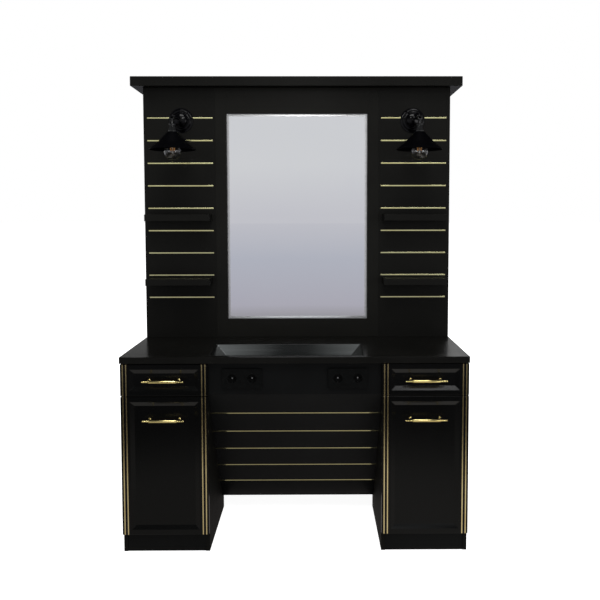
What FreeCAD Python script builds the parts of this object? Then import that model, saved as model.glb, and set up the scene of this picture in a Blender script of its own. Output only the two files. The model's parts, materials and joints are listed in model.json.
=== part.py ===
import FreeCAD, Part
import os
import re

import Sketcher
from FreeCAD import Placement, Rotation, Vector

# Double sided salon station.  +Z is up, the floor is Z = 0, X runs along the
# counter and the two working sides face -Y (front) and +Y (rear).  The rear
# side is the front side turned half round about the Z axis.

SIZES = [
    # overall
    ("counter_width", 1500, "countertop and tower, end to end"),
    ("side_depth", 500, "countertop edge to tower face, each side"),
    ("tower_depth", 200, "tower, face to face"),
    ("counter_height", 867, "floor to the top of the countertop"),
    ("counter_thick", 28, "countertop slab"),
    ("counter_overhang", 13, "countertop beyond the drawer fronts"),
    ("tower_height", 1225, "countertop to the underside of the crown"),
    ("crown_thick", 46, "crown slab"),
    ("crown_overhang", 50, "crown beyond the tower, all round"),
    ("crown_chamfer", 2, "eased top edge of the crown"),
    # boards
    ("board", 18, "carcass and tower boards"),
    ("facing_thick", 16, "slat panels, mirror frames, aprons and knee panels"),
    ("front_thick", 18, "drawer and pull-out fronts"),
    ("box_board", 12, "sides and ends of drawer boxes"),
    ("box_base", 6, "bottoms of drawer boxes"),
    # pedestals
    ("pedestal_width", 375.5, "each pedestal"),
    ("bumper_gap", 2, "carcass edge to the back of a front"),
    ("top_gap", 6, "countertop to drawer front"),
    ("front_gap", 4, "drawer front to pull-out front"),
    ("drawer_front_height", 137, "drawer front"),
    ("plinth_height", 86, "floor to the lower edge of the pull-out front"),
    ("plinth_recess", 3, "plinth board behind the carcass edge"),
    ("stretcher_width", 80, "rails across the carcass"),
    ("glide_height", 3, "foot of a levelling glide"),
    ("glide_radius", 8.5, "foot of a levelling glide"),
    ("glide_inset", 40, "glide from the end of its side board"),
    # fronts
    ("stile_width", 40, "flat border at the sides of a front"),
    ("rail_width", 22, "flat border at the top and bottom of a front"),
    ("bevel_width", 18, "sloped border of the sunk field"),
    ("field_depth", 9, "depth of the sunk field"),
    # brass inlays
    ("inlay_width", 5, "upright inlays on the fronts"),
    ("inlay_edge", 11, "first upright inlay, centre to the edge of the front"),
    ("inlay_pitch", 14.5, "upright inlays, centre to centre"),
    ("inlay_thick", 3, "every inlay, front to back"),
    ("slat_inlay_height", 6, "level inlays of the tower and knee panels"),
    # drawer boxes and runners
    ("box_length", 400, "drawer boxes, front to back"),
    ("drawer_box_height", 100, "sides of a drawer"),
    ("drawer_box_lift", 12, "drawer front's lower edge to the box"),
    ("pullout_box_height", 380, "sides of a pull-out"),
    ("pullout_box_lift", 26, "pull-out front's lower edge to the box"),
    ("runner_space", 12.5, "carcass side to drawer box"),
    ("runner_height", 42, "carcass member of a runner"),
    ("runner_depth", 11, "carcass member of a runner"),
    ("runner_gauge", 1.5, "steel of both members"),
    ("runner_play", 0.3, "between the two members"),
    ("runner_lift", 14, "lower edge of the box to the runner"),
    # pulls
    ("pull_centres", 128, "between the two posts"),
    ("pull_length", 180, "tip to tip"),
    ("pull_reach", 32, "face of the front to the bar's axis"),
    ("pull_bar_radius", 6.2, "thick middle of the bar"),
    ("pull_ring_radius", 8.2, "rings beside the posts"),
    ("pull_ring_width", 4, "rings beside the posts"),
    ("pull_waist_radius", 5.2, "bar at the posts"),
    ("pull_collar_radius", 7.2, "collars outside the posts"),
    ("pull_neck_radius", 4.2, "necks outside the collars"),
    ("pull_neck_offset", 6, "post to neck"),
    ("pull_finial_radius", 5.6, "finials at their widest"),
    ("pull_finial_offset", 12, "post to the widest part of the finial"),
    ("pull_tip_radius", 2.6, "ends of the finials"),
    ("pull_post_radius", 4.5, "posts"),
    ("pull_rose_radius", 7, "foot of a post"),
    ("pull_rose_thick", 3, "foot of a post"),
    ("pullout_pull_drop", 97, "upper edge of a pull-out front to its pull"),
    # apron, sockets and knee panel
    ("apron_recess", 15, "apron behind the drawer fronts"),
    ("apron_height", 140, "apron, from the countertop down"),
    ("socket_inset", 146.5, "pedestal to the middle of a socket pair"),
    ("socket_plate", 86, "one socket plate"),
    ("socket_plate_thick", 8, "socket plate"),
    ("socket_box", 60, "back box of one socket"),
    ("socket_box_depth", 34, "back box behind the apron's face"),
    ("socket_well_radius", 19.5, "round well of a socket"),
    ("socket_well_depth", 14, "round well of a socket"),
    ("socket_rim_width", 3.5, "ring around the well"),
    ("socket_pin_radius", 2.6, "contact holes"),
    ("socket_pin_centres", 19, "contact holes, centre to centre"),
    ("socket_pin_depth", 12, "contact holes"),
    ("knee_foot_height", 82, "floor to the lower edge of the knee panel"),
    ("knee_foot_gap", 51, "lower edge of the knee panel to the tower face"),
    # tool trays
    ("tray_run", 262, "front to back, at the rim"),
    ("tray_margin", 30, "countertop edge to the rim"),
    ("tray_near_gap", 2.5, "left pedestal to the rim"),
    ("tray_far_gap", 75.5, "rim to the right pedestal"),
    ("tray_drop", 70, "rim to the underside"),
    ("tray_end_slope", 59, "ends, rim to floor"),
    ("tray_front_slope", 60, "front, rim to floor"),
    ("tray_back_slope", 14, "back, rim to floor"),
    ("tray_gauge", 1.5, "steel sheet"),
    ("tray_flange", 8, "flange under the slab"),
    ("tray_play", 0.3, "tray to the cut-out"),
    # tower facings
    ("frame_width", 800, "mirror frame"),
    ("mirror_stile", 55, "frame beside the glass"),
    ("mirror_sill", 90, "countertop to the glass"),
    ("mirror_head", 125, "glass to the underside of the crown"),
    ("mirror_thick", 5, "glass"),
    ("mirror_lap", 8, "glass behind the frame"),
    ("mirror_bevel", 12, "ground edge in view"),
    ("mirror_bevel_drop", 1.2, "ground edge, from the face of the glass"),
    ("mirror_play", 0.5, "glass to its rebate"),
    ("slat_margin", 12, "mirror frame to the ends of the inlays"),
    ("slat_first", 198.5, "countertop to the lowest inlay"),
    ("slat_pitch", 110, "inlays, centre to centre"),
    # shelves
    ("shelf_play", 2, "shelf to the side of the tower"),
    ("shelf_gap", 8, "inlays' inner ends to the shelf"),
    ("shelf_depth", 100, "beyond the tower face"),
    ("shelf_thick", 32, "shelf"),
    ("shelf_low", 297, "countertop to the top of the lower shelf"),
    ("shelf_high", 608, "countertop to the top of the upper shelf"),
    ("shelf_round", 2, "eased edges"),
    ("rod_radius", 6, "steel rods that carry a shelf"),
    ("rod_reach", 70, "rod beyond the tower face"),
    ("rod_spacing", 200, "between the two rods of a shelf"),
    ("rod_play", 0.1, "rod to its bore"),
    # lamps
    ("lamp_drop", 159, "underside of the crown to the canopy's middle"),
    ("canopy_radius", 60, "canopy"),
    ("canopy_rim", 4, "upright rim of the canopy"),
    ("canopy_step_radius", 50, "raised step of the canopy"),
    ("canopy_step_rise", 10, "wall to the face of the step"),
    ("canopy_cup_radius", 33, "foot of the cup on the step"),
    ("canopy_brow_radius", 25, "shoulder of the cup"),
    ("canopy_brow_rise", 21, "wall to the shoulder of the cup"),
    ("canopy_rise", 26, "wall to the crest of the canopy"),
    ("canopy_stem", 7, "stem from the crest to the pivot, radius"),
    ("pivot_reach", 40, "wall to the arm's pivot"),
    ("pivot_radius", 8, "barrel of the arm's pivot"),
    ("pivot_height", 14, "barrel of the arm's pivot"),
    ("pivot_ear", 5, "ears of the arm's fork"),
    ("yoke_gap", 1, "barrel to the yoke behind it, both joints"),
    ("yoke_thick", 7, "yoke of the arm's fork"),
    ("ear_setback", 2, "ears narrower than the barrel they hold, all round"),
    ("pin_radius", 3, "pivot pins"),
    ("pin_play", 0.1, "pin to its bore"),
    ("joint_play", 0.3, "between faces that turn on each other"),
    ("arm_reach", 112, "pivot to the shade's joint"),
    ("arm_radius", 5, "tube of the arm"),
    ("arm_angle", 6.5, "arm at rest, turned outwards from square"),
    ("knuckle_radius", 9, "barrel of the shade's joint"),
    ("knuckle_width", 12, "barrel of the shade's joint"),
    ("knuckle_ear", 4, "ears of the shade's fork"),
    ("knuckle_bridge", 5, "bridge between those ears"),
    ("pin_head", 2, "pin beyond the ears"),
    ("neck_drop", 32, "joint to the top of the lampholder"),
    ("neck_radius", 6, "neck above the lampholder"),
    ("holder_radius", 18, "lampholder"),
    ("holder_wall", 2.5, "lampholder"),
    ("holder_bevel", 2, "top edge of the lampholder"),
    ("holder_band", 8, "top of the lampholder to its groove"),
    ("holder_groove", 1, "groove around the lampholder"),
    ("holder_roof", 30, "top of the lampholder to the bulb"),
    ("holder_skirt", 20, "sleeve of the lampholder inside the shade"),
    ("skirt_wall", 1.5, "that sleeve"),
    ("shade_top_drop", 72, "joint to the top of the shade"),
    ("shade_top_radius", 22, "top of the shade"),
    ("shade_mid_drop", 123, "joint to the shade's bend"),
    ("shade_mid_radius", 70, "shade at its bend"),
    ("shade_rim_drop", 156, "joint to the rim"),
    ("shade_rim_radius", 108, "rim"),
    ("shade_lip", 3, "upright lip at the rim"),
    ("shade_gauge", 1.5, "steel sheet"),
    ("bulb_radius", 40, "globe"),
    ("bulb_drop", 203, "joint to the bottom of the globe"),
    ("bulb_gauge", 1, "glass of the globe"),
    ("bulb_cap_radius", 13.5, "screw cap"),
    ("bulb_cap_reach", 2, "screw cap beyond the sleeve"),
    ("bulb_throat_radius", 16.5, "glass at the cap"),
    ("bulb_flare", 4, "cap to the throat"),
    ("bulb_neck_radius", 17.5, "neck where it meets the globe"),
    # services
    ("spine_recess", 30, "inner covers of the spine behind the pedestal sides"),
    ("rail_height", 120, "rails under the tower"),
    ("gland_radius", 16, "flange of the cable gland"),
    ("gland_flange", 6, "flange of the cable gland"),
    ("gland_nut_radius", 13, "nut of the cable gland"),
    ("gland_nut_taper", 2, "nut, flange to mouth"),
    ("gland_bore", 8, "radius of the way in for the cable"),
    ("gland_height", 18, "cable gland below its board"),
    ("gland_inset", 100, "cable gland to the end cover"),
]

SLAT_INLAYS = 9        # level inlays on each slat panel
KNEE_INLAYS = 5        # level inlays on each knee panel

doc = FreeCAD.newDocument("salon_station")
sheet = doc.addObject("Spreadsheet::Sheet", "Sizes")
for row, (alias, size, meaning) in enumerate(SIZES, start=1):
    sheet.set("A%d" % row, alias)
    sheet.set("B%d" % row, str(size))
    sheet.set("C%d" % row, meaning)
    sheet.setAlias("B%d" % row, alias)
doc.recompute()

CELLS = {alias for alias, size, meaning in SIZES}
UP = Vector(0, 0, 1)
DOWN = Vector(0, 0, -1)
nodes = {}


# ---------------------------------------------------------------- formulas

def cells(formula):
    """The formula with each size's name pointing at its cell of the sheet."""
    def cell(match):
        word = match.group(0)
        return "Sizes." + word if word in CELLS else word
    return re.sub(r"\b[a-z_]+\b", cell, formula)


def bind(piece, where, formula):
    piece.setExpression(where, cells(formula))


def worth(formula):
    """What a formula comes to, used to start a sketch near its answer."""
    found = sheet.evalExpression(cells(formula))
    return float(getattr(found, "Value", found))


def face(piece, turned, lay=None):
    """Turn a rear piece half round; lay stands it on its own axis first."""
    turn = Rotation(UP, 180) if turned else Rotation()
    if lay is not None:
        turn = turn.multiply(lay)
    piece.Placement = Placement(piece.Placement.Base, turn)


def put(piece, x="0", y="0", z="0", turned=False, lay=None):
    """Place a piece of the front side, or its twin on the rear side."""
    sign = "-" if turned else ""
    face(piece, turned, lay)
    bind(piece, "Placement.Base.x", "%s(%s)" % (sign, x))
    bind(piece, "Placement.Base.y", "%s(%s)" % (sign, y))
    bind(piece, "Placement.Base.z", z)
    return piece


# ---------------------------------------------------------------- shapes

def board(name, x, y, z, length, width, height, turned=False):
    """A straight board: its low corner, then its size along X, Y and Z."""
    piece = doc.addObject("Part::Box", name)
    bind(piece, "Length", length)
    bind(piece, "Width", width)
    bind(piece, "Height", height)
    return put(piece, x, y, z, turned)


def side_span(side, near, far):
    """X where a piece starts that lies between two distances from the centre."""
    return "-(%s)" % far if side < 0 else near


def cut(name, base, tools):
    piece = doc.addObject("Part::Cut", name)
    piece.Base = base
    piece.Tool = tools[0] if len(tools) == 1 else group(name + "_tools", tools)
    return piece


def fuse(name, pieces):
    piece = doc.addObject("Part::MultiFuse", name)
    piece.Shapes = pieces
    return piece


def group(name, pieces):
    piece = doc.addObject("Part::Compound", name)
    piece.Links = pieces
    return piece


def twin(master, name, x="0", y="0", z="0", turned=False):
    """One more piece of the same make, at a place of its own."""
    piece = doc.addObject("App::Link", name)
    piece.LinkedObject = master
    return put(piece, x, y, z, turned)


def turned_twin(piece, name):
    """The rear side's copy of a piece that already stands in its place."""
    other = doc.addObject("App::Link", name)
    other.LinkedObject = piece
    other.LinkTransform = True
    face(other, True)
    return other


def node(name, pieces):
    """Give a finished sub-part its name; several solids become one group."""
    piece = pieces[0] if len(pieces) == 1 else group(name, pieces)
    piece.Label = name
    nodes[name] = piece
    return piece


# ---------------------------------------------------------------- bodies

def origin_plane(body, role):
    return [o for o in body.Origin.OriginFeatures if o.Role == role][0]


def new_sketch(body, name, role, lift=None):
    sketch = body.newObject("Sketcher::SketchObject", name)
    sketch.AttachmentSupport = [(origin_plane(body, role), "")]
    sketch.MapMode = "FlatFace"
    if lift is not None:
        bind(sketch, "AttachmentOffset.Base.z", lift)
    return sketch


def outline(sketch, corners):
    """A closed outline whose corners are pairs of formulas."""
    spots = [Vector(worth(x), worth(y), 0) for x, y in corners]
    first = sketch.GeometryCount
    count = len(spots)
    for i in range(count):
        sketch.addGeometry(Part.LineSegment(spots[i], spots[(i + 1) % count]), False)
    for i in range(count):
        sketch.addConstraint(
            Sketcher.Constraint("Coincident", first + i, 2, first + (i + 1) % count, 1))
    for i, (x, y) in enumerate(corners):
        for kind, formula, size in (("DistanceX", x, spots[i].x), ("DistanceY", y, spots[i].y)):
            dimension = sketch.addConstraint(
                Sketcher.Constraint(kind, -1, 1, first + i, 1, size))
            bind(sketch, "Constraints[%d]" % dimension, formula)


def rectangle(sketch, width, height, x="0", y="0"):
    """An upright rectangle about the point (x, y)."""
    outline(sketch, [
        ("%s - (%s)/2" % (x, width), "%s - (%s)/2" % (y, height)),
        ("%s + (%s)/2" % (x, width), "%s - (%s)/2" % (y, height)),
        ("%s + (%s)/2" % (x, width), "%s + (%s)/2" % (y, height)),
        ("%s - (%s)/2" % (x, width), "%s + (%s)/2" % (y, height))])


def circle(sketch, radius, x="0", y="0"):
    spot = Vector(worth(x), worth(y), 0)
    ring = sketch.addGeometry(Part.Circle(spot, UP, worth(radius)), False)
    for kind, formula, size in (("DistanceX", x, spot.x), ("DistanceY", y, spot.y)):
        dimension = sketch.addConstraint(Sketcher.Constraint(kind, -1, 1, ring, 3, size))
        bind(sketch, "Constraints[%d]" % dimension, formula)
    dimension = sketch.addConstraint(Sketcher.Constraint("Radius", ring, worth(radius)))
    bind(sketch, "Constraints[%d]" % dimension, radius)


def pad(body, sketch, length, back=False, both=False):
    feature = body.newObject("PartDesign::Pad", sketch.Name + "_pad")
    feature.Profile = sketch
    feature.Reversed = back
    feature.Midplane = both
    bind(feature, "Length", length)
    return feature


def pocket(body, sketch, length, taper=None, back=False):
    feature = body.newObject("PartDesign::Pocket", sketch.Name + "_pocket")
    feature.Profile = sketch
    feature.Reversed = back
    bind(feature, "Length", length)
    if taper is not None:
        bind(feature, "TaperAngle", taper)
    return feature


def turned_part(name, role, axis, corners):
    """A body turned on a lathe: corners are (radius, height) or the reverse."""
    body = doc.addObject("PartDesign::Body", name)
    sketch = new_sketch(body, name + "_profile", role)
    outline(sketch, corners)
    feature = body.newObject("PartDesign::Revolution", name + "_turning")
    feature.Profile = sketch
    feature.ReferenceAxis = (sketch, [axis])
    feature.Angle = 360
    return body


# ---------------------------------------------------------------- places
# Distances along Y are written for the front side, so they are negative.

COUNTER_EDGE = "-(tower_depth/2 + side_depth)"
TOWER_FACE = "-(tower_depth/2)"
FRONT_FACE = COUNTER_EDGE + " + counter_overhang"
FRONT_BACK = FRONT_FACE + " + front_thick"
CARCASS_EDGE = FRONT_BACK + " + bumper_gap"
CARCASS_DEPTH = "(side_depth - counter_overhang - front_thick - bumper_gap)"
HALF = "counter_width/2"
KNEE_HALF = "(counter_width/2 - pedestal_width)"
TRAY_WIDTH = "(counter_width - 2*pedestal_width - tray_near_gap - tray_far_gap)"
TRAY_LEFT = "(tray_near_gap - %s)" % KNEE_HALF
SOCKET_SPREAD = "(%s - socket_inset)" % KNEE_HALF
LAMP_OFFSET = "(frame_width + counter_width - 2*board)/4"   # middle of a slat panel
SLAB_UNDER = "(counter_height - counter_thick)"
TOWER_TOP = "(counter_height + tower_height)"
MIRROR_WIDTH = "(frame_width - 2*mirror_stile)"
MIRROR_HEIGHT = "(tower_height - mirror_sill - mirror_head)"
SHELF_START = "(frame_width/2 + slat_margin + shelf_gap)"
SHELF_LENGTH = "(counter_width/2 - board - shelf_play - %s)" % SHELF_START
DRAWER_LOW = "(counter_height - counter_thick - top_gap - drawer_front_height)"
APRON_LOW = "(counter_height - counter_thick - apron_height)"
PULLOUT_HEIGHT = "(counter_height - counter_thick - top_gap - drawer_front_height" \
                 " - front_gap - plinth_height)"

TURNS = (("front", False), ("rear", True))
# each pedestal and lamp: its name, its side of the front layout, turned or not
CORNERS = (("front_left", -1, False), ("front_right", 1, False),
           ("rear_left", 1, True), ("rear_right", -1, True))


# ---------------------------------------------------------------- countertop

def make_countertop():
    body = doc.addObject("PartDesign::Body", "slab")
    sketch = new_sketch(body, "slab_outline", "XY_Plane")
    rectangle(sketch, "counter_width", "2*side_depth + tower_depth")
    pad(body, sketch, "counter_thick")
    put(body, z=SLAB_UNDER)
    holes = [board("tray_cutout_" + side,
                   TRAY_LEFT + " - tray_play",
                   COUNTER_EDGE + " + tray_margin - tray_play",
                   SLAB_UNDER + " - counter_thick",
                   TRAY_WIDTH + " + 2*tray_play", "tray_run + 2*tray_play",
                   "3*counter_thick", turned)
             for side, turned in TURNS]
    node("countertop", [cut("countertop_slab", body, holes)])


def hopper(name, inset, low_by, turned):
    """A four-sided hopper that narrows downwards, all walls moved in by inset."""
    # Part::Wedge tapers along its own Y, so that axis is stood up along Z
    piece = doc.addObject("Part::Wedge", name)
    bind(piece, "Ymin", "0")
    bind(piece, "Ymax", "tray_drop - (%s)" % low_by)
    slope = "(1 - (%s)/tray_drop)" % low_by
    bind(piece, "Xmin", inset)
    bind(piece, "Xmax", "%s - (%s)" % (TRAY_WIDTH, inset))
    bind(piece, "X2min", "%s + tray_end_slope*%s" % (inset, slope))
    bind(piece, "X2max", "%s - (%s) - tray_end_slope*%s" % (TRAY_WIDTH, inset, slope))
    bind(piece, "Zmin", inset)
    bind(piece, "Zmax", "tray_run - (%s)" % inset)
    bind(piece, "Z2min", "%s + tray_front_slope*%s" % (inset, slope))
    bind(piece, "Z2max", "tray_run - (%s) - tray_back_slope*%s" % (inset, slope))
    return put(piece, TRAY_LEFT, COUNTER_EDGE + " + tray_margin",
               "counter_height", turned, Rotation(Vector(1, 0, 0), -90))


def make_tool_trays():
    trays = []
    for side, turned in TURNS:
        outer = hopper("tray_outer_" + side, "0", "0", turned)
        inner = hopper("tray_inner_" + side, "tray_gauge", "tray_gauge", turned)
        share = "(counter_thick/tray_drop)"
        low_x = "%s + tray_end_slope*%s" % (TRAY_LEFT, share)
        low_y = COUNTER_EDGE + " + tray_margin + tray_front_slope*%s" % share
        flange = board("tray_flange_" + side,
                       low_x + " - tray_flange", low_y + " - tray_flange",
                       SLAB_UNDER + " - tray_gauge",
                       "%s - 2*tray_end_slope*%s + 2*tray_flange" % (TRAY_WIDTH, share),
                       "tray_run - (tray_front_slope + tray_back_slope)*%s"
                       " + 2*tray_flange" % share,
                       "tray_gauge", turned)
        body = fuse("tray_blank_" + side, [outer, flange])
        trays.append(cut("tray_" + side, body, [inner]))
    node("tool_trays", trays)


# ---------------------------------------------------------------- tower

def make_tower():
    sides = [board("tower_side_%s" % name, side_span(side, HALF + " - board", HALF),
                   TOWER_FACE, "counter_height", "board", "tower_depth", "tower_height")
             for name, side in (("left", -1), ("right", 1))]
    node("tower_sides", sides)

    core_depth = "(tower_depth - 2*facing_thick)"
    core_front = TOWER_FACE + " + facing_thick"
    uprights = [board("tower_upright_%s" % name,
                      side_span(side, "frame_width/2 - board/2", "frame_width/2 + board/2"),
                      core_front, "counter_height + board", "board", core_depth,
                      "tower_height - 2*board")
                for name, side in (("left", -1), ("right", 1))]
    levels = [board("tower_floor", "-(%s - board)" % HALF, core_front, "counter_height",
                    "counter_width - 2*board", core_depth, "board"),
              board("tower_head", "-(%s - board)" % HALF, core_front, TOWER_TOP + " - board",
                    "counter_width - 2*board", core_depth, "board")]
    backs = [board("mirror_back_" + side, "-(frame_width/2 - board/2)", core_front,
                   "counter_height + board",
                   "frame_width - board", "board/2", "tower_height - 2*board", turned)
             for side, turned in TURNS]
    node("tower_core", uprights + levels + backs)

    body = doc.addObject("PartDesign::Body", "crown_slab")
    sketch = new_sketch(body, "crown_outline", "XY_Plane")
    rectangle(sketch, "counter_width + 2*crown_overhang", "tower_depth + 2*crown_overhang")
    slab = pad(body, sketch, "crown_thick")
    doc.recompute()
    top = ["Edge%d" % (i + 1) for i, edge in enumerate(slab.Shape.Edges)
           if edge.BoundBox.ZMin > worth("crown_thick - crown_chamfer")]
    easing = body.newObject("PartDesign::Chamfer", "crown_easing")
    easing.Base = (slab, top)
    bind(easing, "Size", "crown_chamfer")
    put(body, z=TOWER_TOP)
    node("crown", [body])


def slat_level(i):
    return "counter_height + slat_first + %d*slat_pitch - slat_inlay_height/2" % i


def slat_strips(name, side, turned):
    """The level inlays of one slat panel."""
    return [board("%s_%d" % (name, i + 1),
                  side_span(side, "frame_width/2 + slat_margin", HALF + " - board"),
                  TOWER_FACE, slat_level(i),
                  HALF + " - board - frame_width/2 - slat_margin",
                  "inlay_thick", "slat_inlay_height", turned)
            for i in range(SLAT_INLAYS)]


def make_slat_panels(inlays):
    panels = []
    for corner, side, turned in CORNERS:
        blank = board("slat_blank_" + corner,
                      side_span(side, "frame_width/2", HALF + " - board"),
                      TOWER_FACE, "counter_height", HALF + " - board - frame_width/2",
                      "facing_thick", "tower_height", turned)
        strips = slat_strips("slat_inlay_" + corner, side, turned)
        bores = [shelf_rod("slat_bore_%s_%s_%d" % (corner, level, end), side, turned, level,
                           end, "rod_radius")
                 for level in ("low", "high") for end in (-1, 1)]
        panels.append(cut("slat_panel_" + corner, blank, strips + bores))
        inlays.extend(strips)
    node("slat_panels", panels)


def make_mirrors():
    frames = []
    glasses = []
    glass_face = TOWER_FACE + " + facing_thick - mirror_thick"
    for side, turned in TURNS:
        rebate = board("mirror_rebate_" + side, "-(%s/2 + mirror_lap)" % MIRROR_WIDTH,
                       glass_face, "counter_height + mirror_sill - mirror_lap",
                       MIRROR_WIDTH + " + 2*mirror_lap", "facing_thick",
                       MIRROR_HEIGHT + " + 2*mirror_lap", turned)
        near = MIRROR_WIDTH + "/2"
        members = (
            ("left", "-frame_width/2", "mirror_stile", "counter_height", "tower_height"),
            ("right", near, "mirror_stile", "counter_height", "tower_height"),
            ("sill", "-" + near, MIRROR_WIDTH, "counter_height", "mirror_sill"),
            ("head", "-" + near, MIRROR_WIDTH, TOWER_TOP + " - mirror_head", "mirror_head"))
        for name, x, length, z, height in members:
            member = board("frame_%s_%s" % (name, side), x, TOWER_FACE, z, length,
                           "facing_thick", height, turned)
            frames.append(cut(member.Name + "_rebated", member, [rebate]))
        glasses.append(make_glass("glass_" + side, glass_face, turned))
    node("mirror_frames", frames)
    node("mirrors", glasses)


def make_glass(name, face_plane, turned):
    """A mirror with a ground edge that shows inside the frame."""
    body = doc.addObject("PartDesign::Body", name)
    width = MIRROR_WIDTH + " + 2*mirror_lap - 2*mirror_play"
    height = MIRROR_HEIGHT + " + 2*mirror_lap - 2*mirror_play"
    sheet_back = new_sketch(body, name + "_back", "XZ_Plane", "-mirror_bevel_drop")
    rectangle(sheet_back, width, height)
    pad(body, sheet_back, "mirror_thick - mirror_bevel_drop", back=True)
    bevel = new_sketch(body, name + "_bevel", "XZ_Plane", "-mirror_bevel_drop")
    rectangle(bevel, width, height)
    slope = pad(body, bevel, "mirror_bevel_drop")
    bind(slope, "TaperAngle",
         "-atan((mirror_bevel + mirror_lap - mirror_play)/mirror_bevel_drop)")
    return put(body, "0", face_plane,
               "counter_height + mirror_sill + %s/2" % MIRROR_HEIGHT, turned)


def shelf_rod(name, side, turned, level, end, radius):
    """One of the two steel rods under a shelf, from inside the tower outwards."""
    middle = "(%s + %s/2)" % (SHELF_START, SHELF_LENGTH)
    x = "%d*%s + %d*rod_spacing/2" % (side, middle, end)
    z = "counter_height + shelf_%s - shelf_thick/2" % level
    piece = doc.addObject("Part::Cylinder", name)
    bind(piece, "Radius", radius)
    bind(piece, "Height", "rod_reach + facing_thick")
    # a cylinder stands on Z, so it is laid down to point away from the tower
    return put(piece, x, TOWER_FACE + " + facing_thick", z, turned,
               Rotation(Vector(1, 0, 0), 90))


def make_shelves():
    body = doc.addObject("PartDesign::Body", "shelf")
    sketch = new_sketch(body, "shelf_outline", "XY_Plane")
    rectangle(sketch, SHELF_LENGTH, "shelf_depth")
    plank = pad(body, sketch, "shelf_thick")
    doc.recompute()
    eased = ["Edge%d" % (i + 1) for i, edge in enumerate(plank.Shape.Edges)
             if edge.BoundBox.YMax < -worth("shelf_depth/2 - shelf_round")]
    easing = body.newObject("PartDesign::Chamfer", "shelf_easing")
    easing.Base = (plank, eased)
    bind(easing, "Size", "shelf_round")

    shelves = []
    rods = []
    middle = "(%s + %s/2)" % (SHELF_START, SHELF_LENGTH)
    for corner, side, turned in CORNERS:
        for level in ("low", "high"):
            name = "shelf_%s_%s" % (level, corner)
            blank = twin(body, name + "_plank", "%d*%s" % (side, middle),
                         TOWER_FACE + " - shelf_depth/2",
                         "counter_height + shelf_%s - shelf_thick" % level, turned)
            bores = [shelf_rod("%s_bore_%d" % (name, end), side, turned, level, end,
                               "rod_radius + rod_play") for end in (-1, 1)]
            shelves.append(cut(name, blank, bores))
            rods.extend(shelf_rod("%s_rod_%d" % (name, end), side, turned, level, end,
                                  "rod_radius") for end in (-1, 1))
    node("shelves", shelves)
    node("shelf_rods", rods)


# ---------------------------------------------------------------- pedestals

def make_pedestals():
    sides = []
    panels = []
    plinths = []
    glides = []
    foot = turned_part("glide", "XZ_Plane", "V_Axis", [
        ("0", "0"), ("glide_radius", "0"), ("glide_radius", "glide_height"),
        ("0", "glide_height")])
    inner_near = KNEE_HALF + " + board"
    inner_far = HALF + " - board"
    clear_width = "pedestal_width - 2*board"
    for corner, side, turned in CORNERS:
        spans = (("outer", HALF + " - board", HALF), ("inner", KNEE_HALF, inner_near))
        for name, near, far in spans:
            sides.append(board("side_%s_%s" % (name, corner), side_span(side, near, far),
                               CARCASS_EDGE, "glide_height", "board", CARCASS_DEPTH,
                               SLAB_UNDER + " - glide_height", turned))
            for end, y in (("fore", CARCASS_EDGE + " + glide_inset"),
                           ("aft", TOWER_FACE + " - glide_inset")):
                glides.append(twin(foot, "glide_%s_%s_%s" % (name, end, corner),
                                   "%d*(%s + board/2)" % (side, near), y, "0", turned))
        x = side_span(side, inner_near, inner_far)
        panels.append(board("bottom_" + corner, x, CARCASS_EDGE, "plinth_height",
                            clear_width, CARCASS_DEPTH + " - board", "board", turned))
        panels.append(board("back_" + corner, x, TOWER_FACE + " - board",
                            "plinth_height", clear_width, "board",
                            SLAB_UNDER + " - plinth_height", turned))
        rails = (("top_fore", CARCASS_EDGE, SLAB_UNDER + " - board"),
                 ("top_aft", TOWER_FACE + " - board - stretcher_width",
                  SLAB_UNDER + " - board"),
                 ("middle", CARCASS_EDGE, DRAWER_LOW + " - front_gap/2 - board/2"))
        for name, y, z in rails:
            panels.append(board("rail_%s_%s" % (name, corner), x, y, z, clear_width,
                                "stretcher_width", "board", turned))
        plinths.append(board("plinth_" + corner, x, CARCASS_EDGE + " + plinth_recess",
                             "glide_height", clear_width, "board",
                             "plinth_height - glide_height", turned))
    node("pedestal_sides", sides)
    node("pedestal_panels", panels)
    node("plinths", plinths)
    node("levelling_glides", glides)


def channel(name, height, depth, opens):
    """A folded steel channel along Y; its web is at X = 0 and opens to +X or -X."""
    body = doc.addObject("PartDesign::Body", name)
    sketch = new_sketch(body, name + "_section", "XZ_Plane")
    far = depth if opens > 0 else "-(%s)" % depth
    web = "runner_gauge" if opens > 0 else "-runner_gauge"
    half = "(%s)/2" % height
    outline(sketch, [
        ("0", "-" + half), (far, "-" + half), (far, "-%s + runner_gauge" % half),
        (web, "-%s + runner_gauge" % half), (web, "%s - runner_gauge" % half),
        (far, "%s - runner_gauge" % half), (far, half), ("0", half)])
    pad(body, sketch, "box_length", back=True)
    return body


RUNNERS = {}


def make_runners():
    """Both members of a runner, in the hand that each side needs."""
    inner_height = "runner_height - 2*runner_gauge - 2*runner_play"
    inner_depth = "runner_space - runner_gauge - 2*runner_play"
    for opens in (-1, 1):
        hand = "right" if opens > 0 else "left"
        RUNNERS["carcass", opens] = channel("carcass_runner_" + hand, "runner_height",
                                            "runner_depth", opens)
        RUNNERS["box", opens] = channel("box_runner_" + hand, inner_height,
                                        inner_depth, opens)
    members = []
    for corner, side, turned in CORNERS:
        for kind, low, lift in UNITS:
            z = "%s + %s + runner_lift + runner_height/2" % (low, lift)
            for wall, distance in (("inner", KNEE_HALF + " + board"),
                                   ("outer", HALF + " - board")):
                opens = side if wall == "inner" else -side
                members.append(twin(RUNNERS["carcass", opens],
                                    "carcass_runner_%s_%s_%s" % (kind, wall, corner),
                                    "%d*(%s)" % (side, distance), CARCASS_EDGE, z, turned))
    node("carcass_runners", members)


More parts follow.
